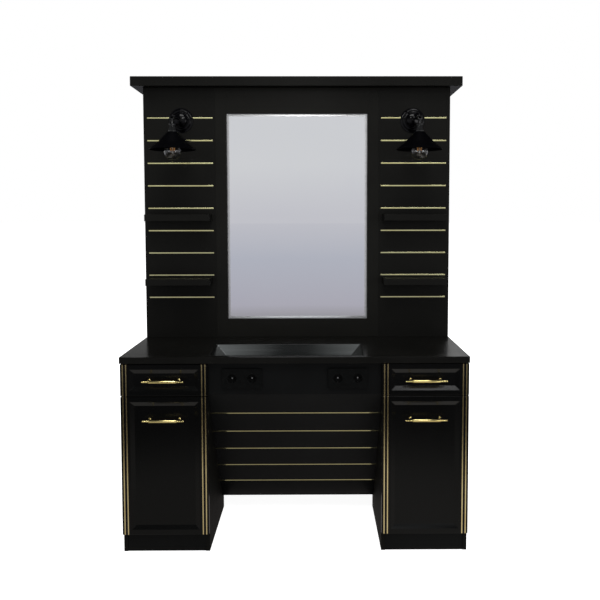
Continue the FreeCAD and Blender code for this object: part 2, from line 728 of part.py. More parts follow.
# each pedestal holds a drawer over a pull-out: lower edge of its front, and the
# rise from there to its box
UNITS = (("drawer", DRAWER_LOW, "drawer_box_lift"),
         ("pullout", "plinth_height", "pullout_box_lift"))
FRONT_HEIGHT = {"drawer": "drawer_front_height", "pullout": PULLOUT_HEIGHT}
BOX_HEIGHT = {"drawer": "drawer_box_height", "pullout": "pullout_box_height"}
PULL_LEVEL = {"drawer": DRAWER_LOW + " + drawer_front_height/2",
              "pullout": DRAWER_LOW + " - front_gap - pullout_pull_drop"}
PEDESTAL_MIDDLE = "(counter_width/2 - pedestal_width/2)"


def front_inlays(name, kind, low, side, turned):
    """The four upright inlays of one front, two beside each edge."""
    strips = []
    for edge, sign, start in (("knee", 1, KNEE_HALF), ("end", -1, HALF)):
        for i in range(2):
            middle = "(%s + %d*(inlay_edge + %d*inlay_pitch))" % (start, sign, i)
            strips.append(board("%s_%s_%d" % (name, edge, i + 1),
                                "%d*%s - inlay_width/2" % (side, middle),
                                FRONT_FACE, low, "inlay_width",
                                "inlay_thick", FRONT_HEIGHT[kind], turned))
    return strips


def make_front(kind, corner, low, side, turned):
    """A slab front with a sunk field inside a sloped border."""
    name = "%s_front_%s" % (kind, corner)
    body = doc.addObject("PartDesign::Body", name + "_slab")
    sketch = new_sketch(body, name + "_outline", "XZ_Plane")
    rectangle(sketch, "pedestal_width", FRONT_HEIGHT[kind])
    pad(body, sketch, "front_thick", back=True)
    field = new_sketch(body, name + "_field", "XZ_Plane")
    rectangle(field, "pedestal_width - 2*stile_width",
              "%s - 2*rail_width" % FRONT_HEIGHT[kind])
    pocket(body, field, "field_depth", taper="-atan(bevel_width/field_depth)")
    put(body, "%d*%s" % (side, PEDESTAL_MIDDLE), FRONT_FACE,
        "%s + (%s)/2" % (low, FRONT_HEIGHT[kind]), turned)
    strips = front_inlays("%s_inlay_%s" % (kind, corner), kind, low, side, turned)
    node(name, [cut(name + "_grooved", body, strips)])
    return strips


def make_box(kind, corner, low, lift, side, turned):
    """A drawer box with its runner members on both sides."""
    name = "%s_box_%s" % (kind, corner)
    width = "(pedestal_width - 2*board - 2*runner_space)"
    near = KNEE_HALF + " + board + runner_space"
    far = HALF + " - board - runner_space"
    height = BOX_HEIGHT[kind]
    z = "%s + %s" % (low, lift)
    x = side_span(side, near, far)
    between = "%s - 2*box_board" % width
    pieces = [
        board(name + "_low_side", x, FRONT_BACK, z, "box_board", "box_length", height,
              turned),
        board(name + "_high_side", "%s + %s - box_board" % (x, width), FRONT_BACK, z,
              "box_board", "box_length", height, turned),
        board(name + "_fore_end", x + " + box_board", FRONT_BACK, z, between,
              "box_board", height, turned),
        board(name + "_aft_end", x + " + box_board",
              FRONT_BACK + " + box_length - box_board", z, between, "box_board", height,
              turned),
        board(name + "_base", x + " + box_board", FRONT_BACK + " + box_board", z, between,
              "box_length - 2*box_board", "box_base", turned)]
    level = "%s + runner_lift + runner_height/2" % z
    for wall, distance in (("inner", near), ("outer", far)):
        opens = -side if wall == "inner" else side
        pieces.append(twin(RUNNERS["box", opens], "%s_runner_%s" % (name, wall),
                           "%d*(%s)" % (side, distance), CARCASS_EDGE, level, turned))
    node(name, pieces)


def make_pull_master():
    """The turned bar with its posts, which stand in a front's sunk field at +Y."""
    post = "pull_centres/2"
    bar_side = [(post + " - 2*pull_ring_width", "pull_bar_radius"),
                (post + " - 3*pull_ring_width/2", "pull_ring_radius"),
                (post + " - pull_ring_width/2", "pull_ring_radius"),
                (post, "pull_waist_radius"),
                (post + " + pull_ring_width", "pull_collar_radius"),
                (post + " + pull_neck_offset", "pull_neck_radius"),
                (post + " + pull_finial_offset", "pull_finial_radius"),
                ("pull_length/2", "pull_tip_radius")]
    corners = [("-pull_length/2", "0"), ("pull_length/2", "0")]
    corners += [(x, r) for x, r in reversed(bar_side)]
    corners += [("-(%s)" % x, r) for x, r in bar_side]
    body = turned_part("pull", "XY_Plane", "H_Axis", corners)
    for name, radius, lift, length in (
            ("pull_posts", "pull_post_radius", "0", "pull_reach + field_depth"),
            ("pull_roses", "pull_rose_radius",
             "-(pull_reach + field_depth - pull_rose_thick)", "pull_rose_thick")):
        sketch = new_sketch(body, name, "XZ_Plane", lift)
        circle(sketch, radius, "-(%s)" % post)
        circle(sketch, radius, post)
        pad(body, sketch, length, back=True)
    return body


def make_drawers():
    make_runners()
    pull = make_pull_master()
    for corner, side, turned in CORNERS:
        for kind, low, lift in UNITS:
            strips = make_front(kind, corner, low, side, turned)
            make_box(kind, corner, low, lift, side, turned)
            handle = twin(pull, "%s_pull_%s" % (kind, corner),
                          "%d*%s" % (side, PEDESTAL_MIDDLE),
                          FRONT_FACE + " - pull_reach", PULL_LEVEL[kind], turned)
            node("%s_brass_%s" % (kind, corner), [handle] + strips)


# ---------------------------------------------------------------- knee space

APRON_FACE = FRONT_FACE + " + apron_recess"


def make_aprons():
    aprons = []
    frames = []
    inserts = []
    middle_z = SLAB_UNDER + " - apron_height/2"

    plate = doc.addObject("PartDesign::Body", "socket_frame")
    rim = new_sketch(plate, "socket_frame_outline", "XZ_Plane")
    rectangle(rim, "2*socket_plate", "socket_plate")
    pad(plate, rim, "socket_plate_thick")
    for i, x in enumerate(("-socket_plate/2", "socket_plate/2")):
        hole = new_sketch(plate, "socket_frame_hole_%d" % (i + 1), "XZ_Plane",
                          "socket_plate_thick")
        circle(hole, "socket_well_radius + socket_rim_width", x)
        pocket(plate, hole, "2*socket_plate_thick")

    insert = doc.addObject("PartDesign::Body", "socket_insert")
    ring = new_sketch(insert, "socket_ring", "XZ_Plane")
    circle(ring, "socket_well_radius + socket_rim_width")
    pad(insert, ring, "socket_plate_thick")
    box = new_sketch(insert, "socket_back", "XZ_Plane")
    rectangle(box, "socket_box", "socket_box")
    pad(insert, box, "socket_box_depth", back=True)
    well = new_sketch(insert, "socket_well", "XZ_Plane", "socket_plate_thick")
    circle(well, "socket_well_radius")
    pocket(insert, well, "socket_well_depth")
    pins = new_sketch(insert, "socket_pin_holes", "XZ_Plane",
                      "socket_plate_thick - socket_well_depth")
    circle(pins, "socket_pin_radius", "-socket_pin_centres/2")
    circle(pins, "socket_pin_radius", "socket_pin_centres/2")
    pocket(insert, pins, "socket_pin_depth")

    for side, turned in TURNS:
        blank = board("apron_blank_" + side, "-%s" % KNEE_HALF, APRON_FACE, APRON_LOW,
                      "2*%s" % KNEE_HALF, "facing_thick", "apron_height", turned)
        cutouts = []
        for name, hand in (("left", -1), ("right", 1)):
            middle = "%d*%s" % (hand, SOCKET_SPREAD)
            frames.append(twin(plate, "socket_frame_%s_%s" % (side, name), middle,
                               APRON_FACE, middle_z, turned))
            for i, step in enumerate((-1, 1)):
                x = "%s + %d*socket_plate/2" % (middle, step)
                label = "%s_%s_%d" % (side, name, i + 1)
                inserts.append(twin(insert, "socket_" + label, x, APRON_FACE, middle_z,
                                    turned))
                cutouts.append(board("socket_cutout_" + label, x + " - socket_box/2",
                                     APRON_FACE, middle_z + " - socket_box/2",
                                     "socket_box", "facing_thick", "socket_box", turned))
        aprons.append(cut("apron_" + side, blank, cutouts))
    node("aprons", aprons)
    node("socket_frames", frames)
    node("socket_inserts", inserts)


def make_knee_panels(inlays):
    """A board that slopes from under the apron back towards the tower."""
    body = doc.addObject("PartDesign::Body", "knee_blank")
    sketch = new_sketch(body, "knee_section", "YZ_Plane")
    rise = "(%s - knee_foot_height)" % APRON_LOW
    run = "(side_depth - counter_overhang - apron_recess - knee_foot_gap)"
    slant = "sqrt(%s^2 + %s^2)" % (rise, run)
    level_thick = "facing_thick*%s/%s" % (slant, rise)
    outline(sketch, [("0", "0"), (level_thick, "0"),
                     ("%s + %s" % (level_thick, run), "-%s" % rise),
                     (run, "-%s" % rise)])
    pad(body, sketch, "2*%s" % KNEE_HALF, both=True)

    fields = KNEE_INLAYS + 1
    strips = []
    for i in range(1, fields):
        # each inlay lies in the sloped face, so it leans back with the board
        strip = doc.addObject("Part::Box", "knee_inlay_%d" % i)
        bind(strip, "Length", "2*%s" % KNEE_HALF)
        bind(strip, "Width", "inlay_thick")
        bind(strip, "Height", "slat_inlay_height")
        low = "(%d/%d + slat_inlay_height/2/%s)" % (i, fields, slant)
        put(strip, "-%s" % KNEE_HALF, "%s + %s*%s" % (APRON_FACE, run, low),
            "%s - %s*%s" % (APRON_LOW, rise, low), lay=Rotation(Vector(1, 0, 0), 1))
        bind(strip, "Placement.Rotation.Angle", "atan(%s/%s)" % (run, rise))
        strips.append(strip)
    put(body, "0", APRON_FACE, APRON_LOW)
    front = cut("knee_panel_front", body, strips)
    node("knee_panels", [front, turned_twin(front, "knee_panel_rear")])
    inlays.extend(strips)
    inlays.extend(turned_twin(strip, strip.Name + "_rear") for strip in strips)


GLAND_X = "-(counter_width/2 - board - gland_inset)"


def make_spine():
    """Covers that close the gap between the pedestals' backs, and their rails."""
    pieces = []
    for name, side in (("left", -1), ("right", 1)):
        pieces.append(board("spine_cover_" + name,
                            side_span(side, HALF + " - board", HALF), TOWER_FACE,
                            "glide_height", "board", "tower_depth",
                            SLAB_UNDER + " - glide_height"))
        near = KNEE_HALF + " + spine_recess"
        pieces.append(board("spine_lining_" + name,
                            side_span(side, near, near + " + board"), TOWER_FACE,
                            "glide_height", "board", "tower_depth",
                            SLAB_UNDER + " - glide_height"))
    for side, turned in TURNS:
        pieces.append(board("tower_rail_" + side, "-%s" % KNEE_HALF,
                            TOWER_FACE + " - board", SLAB_UNDER + " - rail_height",
                            "2*%s" % KNEE_HALF, "board", "rail_height", turned))
    floor = board("spine_floor", "-(%s)" % (HALF + " - board"), TOWER_FACE,
                  "plinth_height", "pedestal_width - spine_recess - 2*board",
                  "tower_depth", "board")
    inlet = doc.addObject("Part::Cylinder", "spine_inlet")
    bind(inlet, "Radius", "gland_bore")
    bind(inlet, "Height", "3*board")
    put(inlet, GLAND_X, "0", "plinth_height - board")
    pieces.append(cut("spine_floor_board", floor, [inlet]))
    node("spine_boards", pieces)


# ---------------------------------------------------------------- lamps

def make_lamps():
    wall = "pivot_reach"
    # the canopy is turned about Y: heights run from the pivot's axis to the wall
    canopy = turned_part("canopy", "XY_Plane", "V_Axis", [
        ("0", wall), ("canopy_radius", wall), ("canopy_radius", wall + " - canopy_rim"),
        ("canopy_step_radius", wall + " - canopy_rim"),
        ("canopy_step_radius", wall + " - canopy_step_rise"),
        ("canopy_cup_radius", wall + " - canopy_step_rise"),
        ("canopy_brow_radius", wall + " - canopy_brow_rise"),
        ("canopy_stem", wall + " - canopy_rise"), ("canopy_stem", "0"), ("0", "0")])
    barrel = new_sketch(canopy, "canopy_barrel", "XY_Plane")
    circle(barrel, "pivot_radius")
    pad(canopy, barrel, "pivot_height", both=True)
    bore = new_sketch(canopy, "canopy_bore", "XY_Plane", "pivot_height")
    circle(bore, "pin_radius + pin_play")
    pocket(canopy, bore, "2*pivot_height")

    # the arm points along -Y from its pivot at the origin
    arm = doc.addObject("PartDesign::Body", "arm")
    ear_low = "(pivot_height/2 + joint_play)"
    fork_top = "(%s + pivot_ear)" % ear_low
    ear_end = "(pivot_radius - ear_setback)"
    yoke_near = "(pivot_radius + yoke_gap)"
    yoke_far = "(pivot_radius + yoke_gap + yoke_thick)"
    yoke = new_sketch(arm, "arm_fork", "YZ_Plane")
    outline(yoke, [
        (ear_end, fork_top), (ear_end, ear_low),
        ("-" + yoke_near, ear_low), ("-" + yoke_near, "-" + ear_low),
        (ear_end, "-" + ear_low), (ear_end, "-" + fork_top),
        ("-" + yoke_far, "-" + fork_top), ("-" + yoke_far, fork_top)])
    pad(arm, yoke, "2*" + ear_end, both=True)
    pin = new_sketch(arm, "arm_pin", "XY_Plane")
    circle(pin, "pin_radius")
    pad(arm, pin, "2*%s" % fork_top, both=True)
    tube = new_sketch(arm, "arm_tube", "XZ_Plane", yoke_far)
    circle(tube, "arm_radius")
    pad(arm, tube, "arm_reach - %s" % yoke_far)
    knuckle = new_sketch(arm, "arm_knuckle", "YZ_Plane")
    circle(knuckle, "knuckle_radius", "-arm_reach")
    pad(arm, knuckle, "knuckle_width", both=True)
    joint_bore = new_sketch(arm, "arm_joint_bore", "YZ_Plane", "knuckle_width")
    circle(joint_bore, "pin_radius + pin_play", "-arm_reach")
    pocket(arm, joint_bore, "2*knuckle_width")

    # the lampholder hangs from its joint at the origin
    bridge = "(knuckle_radius + yoke_gap)"
    holder = turned_part("lampholder", "XZ_Plane", "V_Axis", [
        ("0", "-" + bridge), ("neck_radius", "-" + bridge), ("neck_radius", "-neck_drop"),
        ("holder_radius - holder_bevel", "-neck_drop"),
        ("holder_radius", "-neck_drop - holder_bevel"),
        ("holder_radius", "-neck_drop - holder_band"),
        ("holder_radius - holder_groove", "-neck_drop - holder_band - holder_groove"),
        ("holder_radius", "-shade_top_drop"),
        ("holder_radius - holder_wall", "-shade_top_drop"),
        ("holder_radius - holder_wall", "-shade_top_drop - holder_skirt"),
        ("holder_radius - holder_wall - skirt_wall", "-shade_top_drop - holder_skirt"),
        ("holder_radius - holder_wall - skirt_wall", "-neck_drop - holder_roof"),
        ("0", "-neck_drop - holder_roof")])
    half_width = "(knuckle_width/2 + joint_play + knuckle_ear)"
    fork = new_sketch(holder, "holder_fork", "XZ_Plane")
    gap = "(knuckle_width/2 + joint_play)"
    fork_foot = "-%s - knuckle_bridge" % bridge
    outline(fork, [
        ("-" + half_width, "knuckle_radius"), ("-" + half_width, fork_foot),
        (half_width, fork_foot), (half_width, "knuckle_radius"),
        (gap, "knuckle_radius"), (gap, "-" + bridge),
        ("-" + gap, "-" + bridge), ("-" + gap, "knuckle_radius")])
    pad(holder, fork, "2*(knuckle_radius - ear_setback)", both=True)
    axle = new_sketch(holder, "holder_pin", "YZ_Plane")
    circle(axle, "pin_radius")
    pad(holder, axle, "2*%s + 2*pin_head" % half_width, both=True)

    shade = turned_part("shade", "XZ_Plane", "V_Axis", [
        ("holder_radius - holder_wall", "-shade_top_drop"),
        ("shade_top_radius", "-shade_top_drop"),
        ("shade_mid_radius", "-shade_mid_drop"),
        ("shade_rim_radius", "-shade_rim_drop + shade_lip"),
        ("shade_rim_radius", "-shade_rim_drop"),
        ("shade_rim_radius - shade_gauge", "-shade_rim_drop"),
        ("shade_rim_radius - shade_gauge", "-shade_rim_drop + shade_lip - shade_gauge/2"),
        ("shade_mid_radius - shade_gauge/2", "-shade_mid_drop - shade_gauge"),
        ("shade_top_radius - shade_gauge", "-shade_top_drop - shade_gauge"),
        ("holder_radius - holder_wall", "-shade_top_drop - shade_gauge")])

    bulb = doc.addObject("PartDesign::Body", "bulb")
    globe = new_sketch(bulb, "bulb_profile", "XZ_Plane")
    bulb_outline(globe)
    feature = bulb.newObject("PartDesign::Revolution", "bulb_turning")
    feature.Profile = globe
    feature.ReferenceAxis = (globe, ["V_Axis"])
    feature.Angle = 360
    hollow = doc.addObject("Part::Sphere", "bulb_hollow")
    bind(hollow, "Radius", "bulb_radius - bulb_gauge")
    put(hollow, z="-(bulb_drop - bulb_radius)")
    envelope = cut("bulb_envelope", bulb, [hollow])

    canopies = []
    for corner, side, turned in CORNERS:
        x = "%d*%s" % (side, LAMP_OFFSET)
        y = TOWER_FACE + " - pivot_reach"
        z = TOWER_TOP + " - lamp_drop"
        canopies.append(twin(canopy, "canopy_" + corner, x, y, z, turned))
        out_x = "%s + %d*arm_reach*sin(arm_angle)" % (x, side)
        out_y = "%s - arm_reach*cos(arm_angle)" % y
        for name, masters, px, py in (("lamp_arm", [arm], x, y),
                                      ("lamp_shade", [holder, shade], out_x, out_y),
                                      ("lamp_bulb", [envelope], out_x, out_y)):
            pieces = []
            for i, master in enumerate(masters):
                piece = twin(master, "%s_%s_%d" % (name, corner, i + 1), px, py, z, turned)
                swing(piece, side, turned)
                pieces.append(piece)
            node("%s_%s" % (name, corner), pieces)
    node("lamp_canopies", canopies)


def swing(piece, side, turned):
    """Turn a lamp's piece outwards by the arm's rest angle."""
    axis = UP if (side > 0) != turned else DOWN
    piece.Placement = Placement(piece.Placement.Base, Rotation(axis, 1))
    bind(piece, "Placement.Rotation.Angle", "180 - arm_angle" if turned else "arm_angle")


def bulb_outline(sketch):
    """Half of a globe bulb: screw cap, cone-shaped neck and round globe."""
    top = "-(neck_drop + holder_roof)"
    cap_end = "-(shade_top_drop + holder_skirt + bulb_cap_reach)"
    centre = "-(bulb_drop - bulb_radius)"
    shoulder = "(%s + sqrt(bulb_radius^2 - bulb_neck_radius^2))" % centre
    line = [("0", top), ("bulb_cap_radius", top), ("bulb_cap_radius", cap_end),
            ("bulb_throat_radius", cap_end + " - bulb_flare"),
            ("bulb_neck_radius", shoulder)]
    spots = [Vector(worth(x), worth(y), 0) for x, y in line]
    bottom = Vector(0, worth("-bulb_drop"), 0)
    side = Vector(worth("bulb_radius"), worth(centre), 0)
    for i in range(len(spots) - 1):
        sketch.addGeometry(Part.LineSegment(spots[i], spots[i + 1]), False)
    sketch.addGeometry(Part.Arc(spots[-1], side, bottom), False)
    sketch.addGeometry(Part.LineSegment(bottom, spots[0]), False)
    arc = len(spots) - 1
    back = arc + 1
    for i in range(arc - 1):
        sketch.addConstraint(Sketcher.Constraint("Coincident", i, 2, i + 1, 1))
    for i, (x, y) in enumerate(line[:-1]):
        for kind, formula, size in (("DistanceX", x, spots[i].x), ("DistanceY", y, spots[i].y)):
            dimension = sketch.addConstraint(Sketcher.Constraint(kind, -1, 1, i, 1, size))
            bind(sketch, "Constraints[%d]" % dimension, formula)
    # a clockwise arc is stored the other way round, so its ends are found by place
    ends = {1: sketch.getPoint(arc, 1), 2: sketch.getPoint(arc, 2)}
    low_end = min(ends, key=lambda k: ends[k].y)
    high_end = 3 - low_end
    sketch.addConstraint(Sketcher.Constraint("Coincident", arc - 1, 2, arc, high_end))
    sketch.addConstraint(Sketcher.Constraint("Coincident", back, 1, arc, low_end))
    sketch.addConstraint(Sketcher.Constraint("Coincident", back, 2, 0, 1))
    for kind, geo, spot, formula in (
            ("DistanceY", arc, 3, centre), ("DistanceY", arc, high_end, shoulder),
            ("DistanceX", arc, 3, "0"), ("DistanceX", back, 1, "0")):
        dimension = sketch.addConstraint(
            Sketcher.Constraint(kind, -1, 1, geo, spot, worth(formula)))
        bind(sketch, "Constraints[%d]" % dimension, formula)
    dimension = sketch.addConstraint(Sketcher.Constraint("Radius", arc, worth("bulb_radius")))
    bind(sketch, "Constraints[%d]" % dimension, "bulb_radius")


def make_gland():
    """The mains inlet under the floor of the spine."""
    gland = turned_part("gland", "XZ_Plane", "V_Axis", [
        ("gland_bore", "0"), ("gland_radius", "0"), ("gland_radius", "-gland_flange"),
        ("gland_nut_radius", "-gland_flange"),
        ("gland_nut_radius - gland_nut_taper", "-gland_height"),
        ("gland_bore", "-gland_height")])
    node("cable_gland", [twin(gland, "mains_gland", GLAND_X, "0", "plinth_height")])


# ---------------------------------------------------------------- build

make_countertop()
make_tool_trays()
make_tower()
brass = []
make_slat_panels(brass)
make_mirrors()
make_shelves()
make_pedestals()
make_drawers()
make_aprons()
make_knee_panels(brass)
make_spine()
make_lamps()
make_gland()
node("brass_inlays", brass)
doc.recompute()

failed = [piece.Name for piece in doc.Objects
          if "Invalid" in piece.State or "Error" in piece.State]
if failed:
    raise RuntimeError("failed objects: %s" % ", ".join(failed))
for name, piece in nodes.items():
    shape = Part.getShape(piece)
    if shape.isNull() or not shape.isValid() or not shape.Solids:
        raise RuntimeError("bad shape: %s" % name)

os.makedirs("parts", exist_ok=True)
for name, piece in nodes.items():
    Part.getShape(piece).exportStep(os.path.join("parts", name + ".step"))
print("%d nodes, %d solids" % (
    len(nodes), sum(len(Part.getShape(piece).Solids) for piece in nodes.values())))
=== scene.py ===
"""Double sided salon station: surfaces, turned brass, lamps, sockets and stage."""

import json
import math
from functools import cache

import bmesh
import bpy
from mathutils import Matrix, Vector


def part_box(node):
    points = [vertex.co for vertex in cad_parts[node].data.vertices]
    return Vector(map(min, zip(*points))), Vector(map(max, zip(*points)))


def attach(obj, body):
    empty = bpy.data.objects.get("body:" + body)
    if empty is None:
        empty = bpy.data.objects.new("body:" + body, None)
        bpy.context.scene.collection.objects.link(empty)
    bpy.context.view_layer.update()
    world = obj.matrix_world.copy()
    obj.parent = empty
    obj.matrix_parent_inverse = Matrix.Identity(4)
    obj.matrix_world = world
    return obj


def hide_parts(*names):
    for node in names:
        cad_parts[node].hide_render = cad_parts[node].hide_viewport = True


bl_info = {
    "name": "Double Sided Salon Station",
    "version": (1, 0, 0),
    "blender": (4, 5, 0),
    "location": "View3D > Sidebar > Salon Station",
    "description": "Dresses the station's boards, brass, lamps and sockets, and its stage",
    "category": "Object",
}

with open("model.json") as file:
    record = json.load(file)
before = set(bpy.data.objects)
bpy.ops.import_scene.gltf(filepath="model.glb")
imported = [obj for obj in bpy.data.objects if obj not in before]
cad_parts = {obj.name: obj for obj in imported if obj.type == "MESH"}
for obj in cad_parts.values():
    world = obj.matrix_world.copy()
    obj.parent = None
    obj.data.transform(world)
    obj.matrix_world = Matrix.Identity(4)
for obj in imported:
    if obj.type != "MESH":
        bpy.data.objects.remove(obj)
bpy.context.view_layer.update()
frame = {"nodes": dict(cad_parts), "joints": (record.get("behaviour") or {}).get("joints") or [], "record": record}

CORNERS = ("front_left", "front_right", "rear_left", "rear_right")
UNITS = ("drawer", "pullout")
QUARTER = math.radians(90)
SAME_POINT, SAME_PLANE = 1e-6, math.radians(0.4)
SHARP = math.radians(32)         # edges turned by more than this are hard
EASE_SEGMENTS = 2
SMALL_EASE = 0.0004              # on small metal pieces
TRAY_EASE = 0.0002
PLATE_EASE, WELL_EASE = 0.0016, 0.0005
POST_STEPS, BAR_STEPS = 28, 40   # faces round the posts and bar of a pull
INLAY_STANDS_UNDER = 0.002       # what stands further out of a front is its pull
INLAY_FLUSH = 0.0005             # what stands out less lies in the front
BEVEL_SLOPE = (0.3, 0.6)         # a sloped border's normal, up or down
BEVEL_FACE, MIRROR_FACE = 0.97, 0.9995   # normal along Y of a face that is no edge
TRAY_END_SLOPE, TRAY_RIM = 0.3, 0.001


# ---------- settings

class BoardSettings(bpy.types.PropertyGroup):
    """The laminated and lacquered boards"""
    ease: bpy.props.FloatProperty(
        name="Edge radius", description="Softened edge of a laminated board",
        default=0.0009, min=0.0001, max=0.003, unit="LENGTH")
    front_ease: bpy.props.FloatProperty(
        name="Front radius", description="Softened edge of a lacquered front",
        default=0.0012, min=0.0001, max=0.003, unit="LENGTH")
    laminate: bpy.props.FloatVectorProperty(
        name="Laminate", description="Colour of the tower and carcass laminate",
        default=(0.0052, 0.0051, 0.0045), subtype="COLOR", min=0, max=1)
    lacquer: bpy.props.FloatVectorProperty(
        name="Lacquer", description="Colour of the drawer and pull-out fronts",
        default=(0.0007, 0.0008, 0.0009), subtype="COLOR", min=0, max=1)
    birch: bpy.props.FloatVectorProperty(
        name="Birch", description="Colour of the drawer boxes",
        default=(0.58, 0.44, 0.28), subtype="COLOR", min=0, max=1)


class BrassSettings(bpy.types.PropertyGroup):
    """Inlays and pulls"""
    ease: bpy.props.FloatProperty(
        name="Inlay edge", description="Softened edge of a brass inlay",
        default=0.0006, min=0.0001, max=0.002, unit="LENGTH")
    inlay: bpy.props.FloatVectorProperty(
        name="Inlay brass", description="Colour of the inlays",
        default=(0.74, 0.73, 0.41), subtype="COLOR", min=0, max=1)
    upright: bpy.props.FloatVectorProperty(
        name="Upright brass", description="Colour of the inlays beside the fronts",
        default=(0.78, 0.67, 0.38), subtype="COLOR", min=0, max=1)
    pull: bpy.props.FloatVectorProperty(
        name="Pull brass", description="Colour of the polished pulls",
        default=(0.84, 0.72, 0.33), subtype="COLOR", min=0, max=1)
    bar_radius: bpy.props.FloatProperty(
        name="Bar radius", description="Thick middle of a pull",
        default=0.0062, min=0.003, max=0.008, unit="LENGTH")
    post_centres: bpy.props.FloatProperty(
        name="Post centres", description="Between the two posts of a pull",
        default=0.128, min=0.064, max=0.16, unit="LENGTH")


class LampSettings(bpy.types.PropertyGroup):
    """Shades, canopies and bulbs"""
    enamel: bpy.props.FloatVectorProperty(
        name="Enamel", description="Colour of the lamps' enamel",
        default=(0.0006, 0.0006, 0.0010), subtype="COLOR", min=0, max=1)
    # The filament's colour also sets its painted glow.
    filament: bpy.props.FloatVectorProperty(
        name="Filament", description="Colour of the carbon filament",
        default=(0.62, 0.30, 0.09), subtype="COLOR", min=0, max=1)
    loops: bpy.props.IntProperty(
        name="Filament loops", description="Long loops of the squirrel-cage filament",
        default=7, min=3, max=12)
    steps: bpy.props.IntProperty(
        name="Steps round", description="Faces round a turned lamp piece",
        default=72, min=24, max=128)


class StageSettings(bpy.types.PropertyGroup):
    """Camera, floor and lights"""
    eye: bpy.props.FloatVectorProperty(
        name="Eye", description="Place of the camera",
        default=(0.0885, -3.5405, 1.4713), subtype="XYZ", unit="LENGTH")
    lens: bpy.props.FloatProperty(
        name="Lens", description="Focal length on a 36 mm wide film, in millimetres",
        default=41.785, min=20, max=90)
    pitch: bpy.props.FloatProperty(
        name="Pitch", description="Camera tilted down", default=0.05926, subtype="ANGLE")
    turn: bpy.props.FloatProperty(
        name="Turn", description="Camera turned to the right", default=0.00701,
        subtype="ANGLE")
    roll: bpy.props.FloatProperty(
        name="Roll", description="Camera rolled about its own axis", default=-0.00148,
        subtype="ANGLE")
    shift: bpy.props.FloatVectorProperty(
        name="Shift", description="Lens shift, as shares of the picture's width",
        default=(-0.03357, -0.07274), size=2)
    floor_size: bpy.props.FloatProperty(
        name="Floor", description="Length of the floor's side", default=240.0,
        min=10, unit="LENGTH")


SETTINGS = {"station_boards": BoardSettings, "station_brass": BrassSettings,
            "station_lamps": LampSettings, "station_stage": StageSettings}


# ---------- node tools

def nodes_of(owner):
    """The emptied node tree of a material or world, its nodes and its links."""
    owner.use_nodes = True
    tree = owner.node_tree
    tree.nodes.clear()
    return tree, tree.nodes, tree.links


def feed(links, socket, value):
    """Feed a socket from another one, or set it to a number or colour."""
    if isinstance(value, bpy.types.NodeSocket):
        links.new(value, socket)
    else:
        socket.default_value = value


def noise(tree, vector, scale, detail=3.0, rough=0.5, stretch=None):
    """Noise from 0 to 1, drawn out along the axes with a small stretch."""
    if stretch is not None:
        mapping = tree.nodes.new("ShaderNodeMapping")
        mapping.inputs["Scale"].default_value = stretch
        tree.links.new(vector, mapping.inputs["Vector"])
        vector = mapping.outputs["Vector"]
    node = tree.nodes.new("ShaderNodeTexNoise")
    tree.links.new(vector, node.inputs["Vector"])
    feed(tree.links, node.inputs["Scale"], scale)
    node.inputs["Detail"].default_value = detail
    node.inputs["Roughness"].default_value = rough
    return node.outputs["Fac"]


def spread(tree, value, low, high, to_low=0.0, to_high=1.0):
    """Pass from to_low to to_high while value goes from low to high."""
    node = tree.nodes.new("ShaderNodeMapRange")
    node.clamp = True
    tree.links.new(value, node.inputs["Value"])
    for name, number in (("From Min", low), ("From Max", high),
                         ("To Min", to_low), ("To Max", to_high)):
        feed(tree.links, node.inputs[name], number)
    return node.outputs["Result"]


def math_node(tree, operation, a, b=0.0):
    node = tree.nodes.new("ShaderNodeMath")
    node.operation = operation
    feed(tree.links, node.inputs[0], a)
    feed(tree.links, node.inputs[1], b)
    return node.outputs[0]


def blend_colours(tree, factor, a, b):
    node = tree.nodes.new("ShaderNodeMix")
    node.data_type = "RGBA"
    feed(tree.links, node.inputs[0], factor)
    feed(tree.links, node.inputs[6], a)
    feed(tree.links, node.inputs[7], b)
    return node.outputs[2]


def new_group(name, numbers, outputs):
    """A group that a vector and numbers feed, with its input and output nodes."""
    group = bpy.data.node_groups.new(name, "ShaderNodeTree")
    sockets = group.interface
    sockets.new_socket(name="Vector", in_out="INPUT", socket_type="NodeSocketVector")
    for label, default in numbers.items():
        socket = sockets.new_socket(name=label, in_out="INPUT", socket_type="NodeSocketFloat")
        socket.default_value = default
    for label in outputs:
        sockets.new_socket(name=label, in_out="OUTPUT", socket_type="NodeSocketFloat")
    return group, group.nodes.new("NodeGroupInput"), group.nodes.new("NodeGroupOutput")


@cache
def handling_marks():
    """Faint smudges and wiping marks: a mask that breaks up colour and gloss."""
    group, start, end = new_group("Handling marks", {"Scale": 6.0, "Amount": 0.5}, ("Mask",))
    vector = start.outputs["Vector"]
    broad = noise(group, vector, start.outputs["Scale"], 4.0, 0.6)
    wiped = noise(group, vector, math_node(group, "MULTIPLY", start.outputs["Scale"], 5.0),
                  3.0, 0.55, (1.0, 1.0, 0.18))
    both = math_node(group, "MULTIPLY", spread(group, broad, 0.38, 0.68),
                     spread(group, wiped, 0.35, 0.75, 0.35, 1.0))
    group.links.new(math_node(group, "MULTIPLY", both, start.outputs["Amount"]),
                    end.inputs["Mask"])
    return group


@cache
def fine_skin():
    """The orange-peel skin of laminate, enamel and moulded plastic."""
    group, start, end = new_group("Fine skin", {"Scale": 900.0}, ("Height",))
    vector = start.outputs["Vector"]
    peel = noise(group, vector, start.outputs["Scale"], 2.0, 0.5)
    pores = noise(group, vector, math_node(group, "MULTIPLY", start.outputs["Scale"], 0.16),
                  3.0, 0.6)
    total = math_node(group, "ADD", math_node(group, "MULTIPLY", peel, 0.6),
                      math_node(group, "MULTIPLY", pores, 0.4))
    group.links.new(total, end.inputs["Height"])
    return group


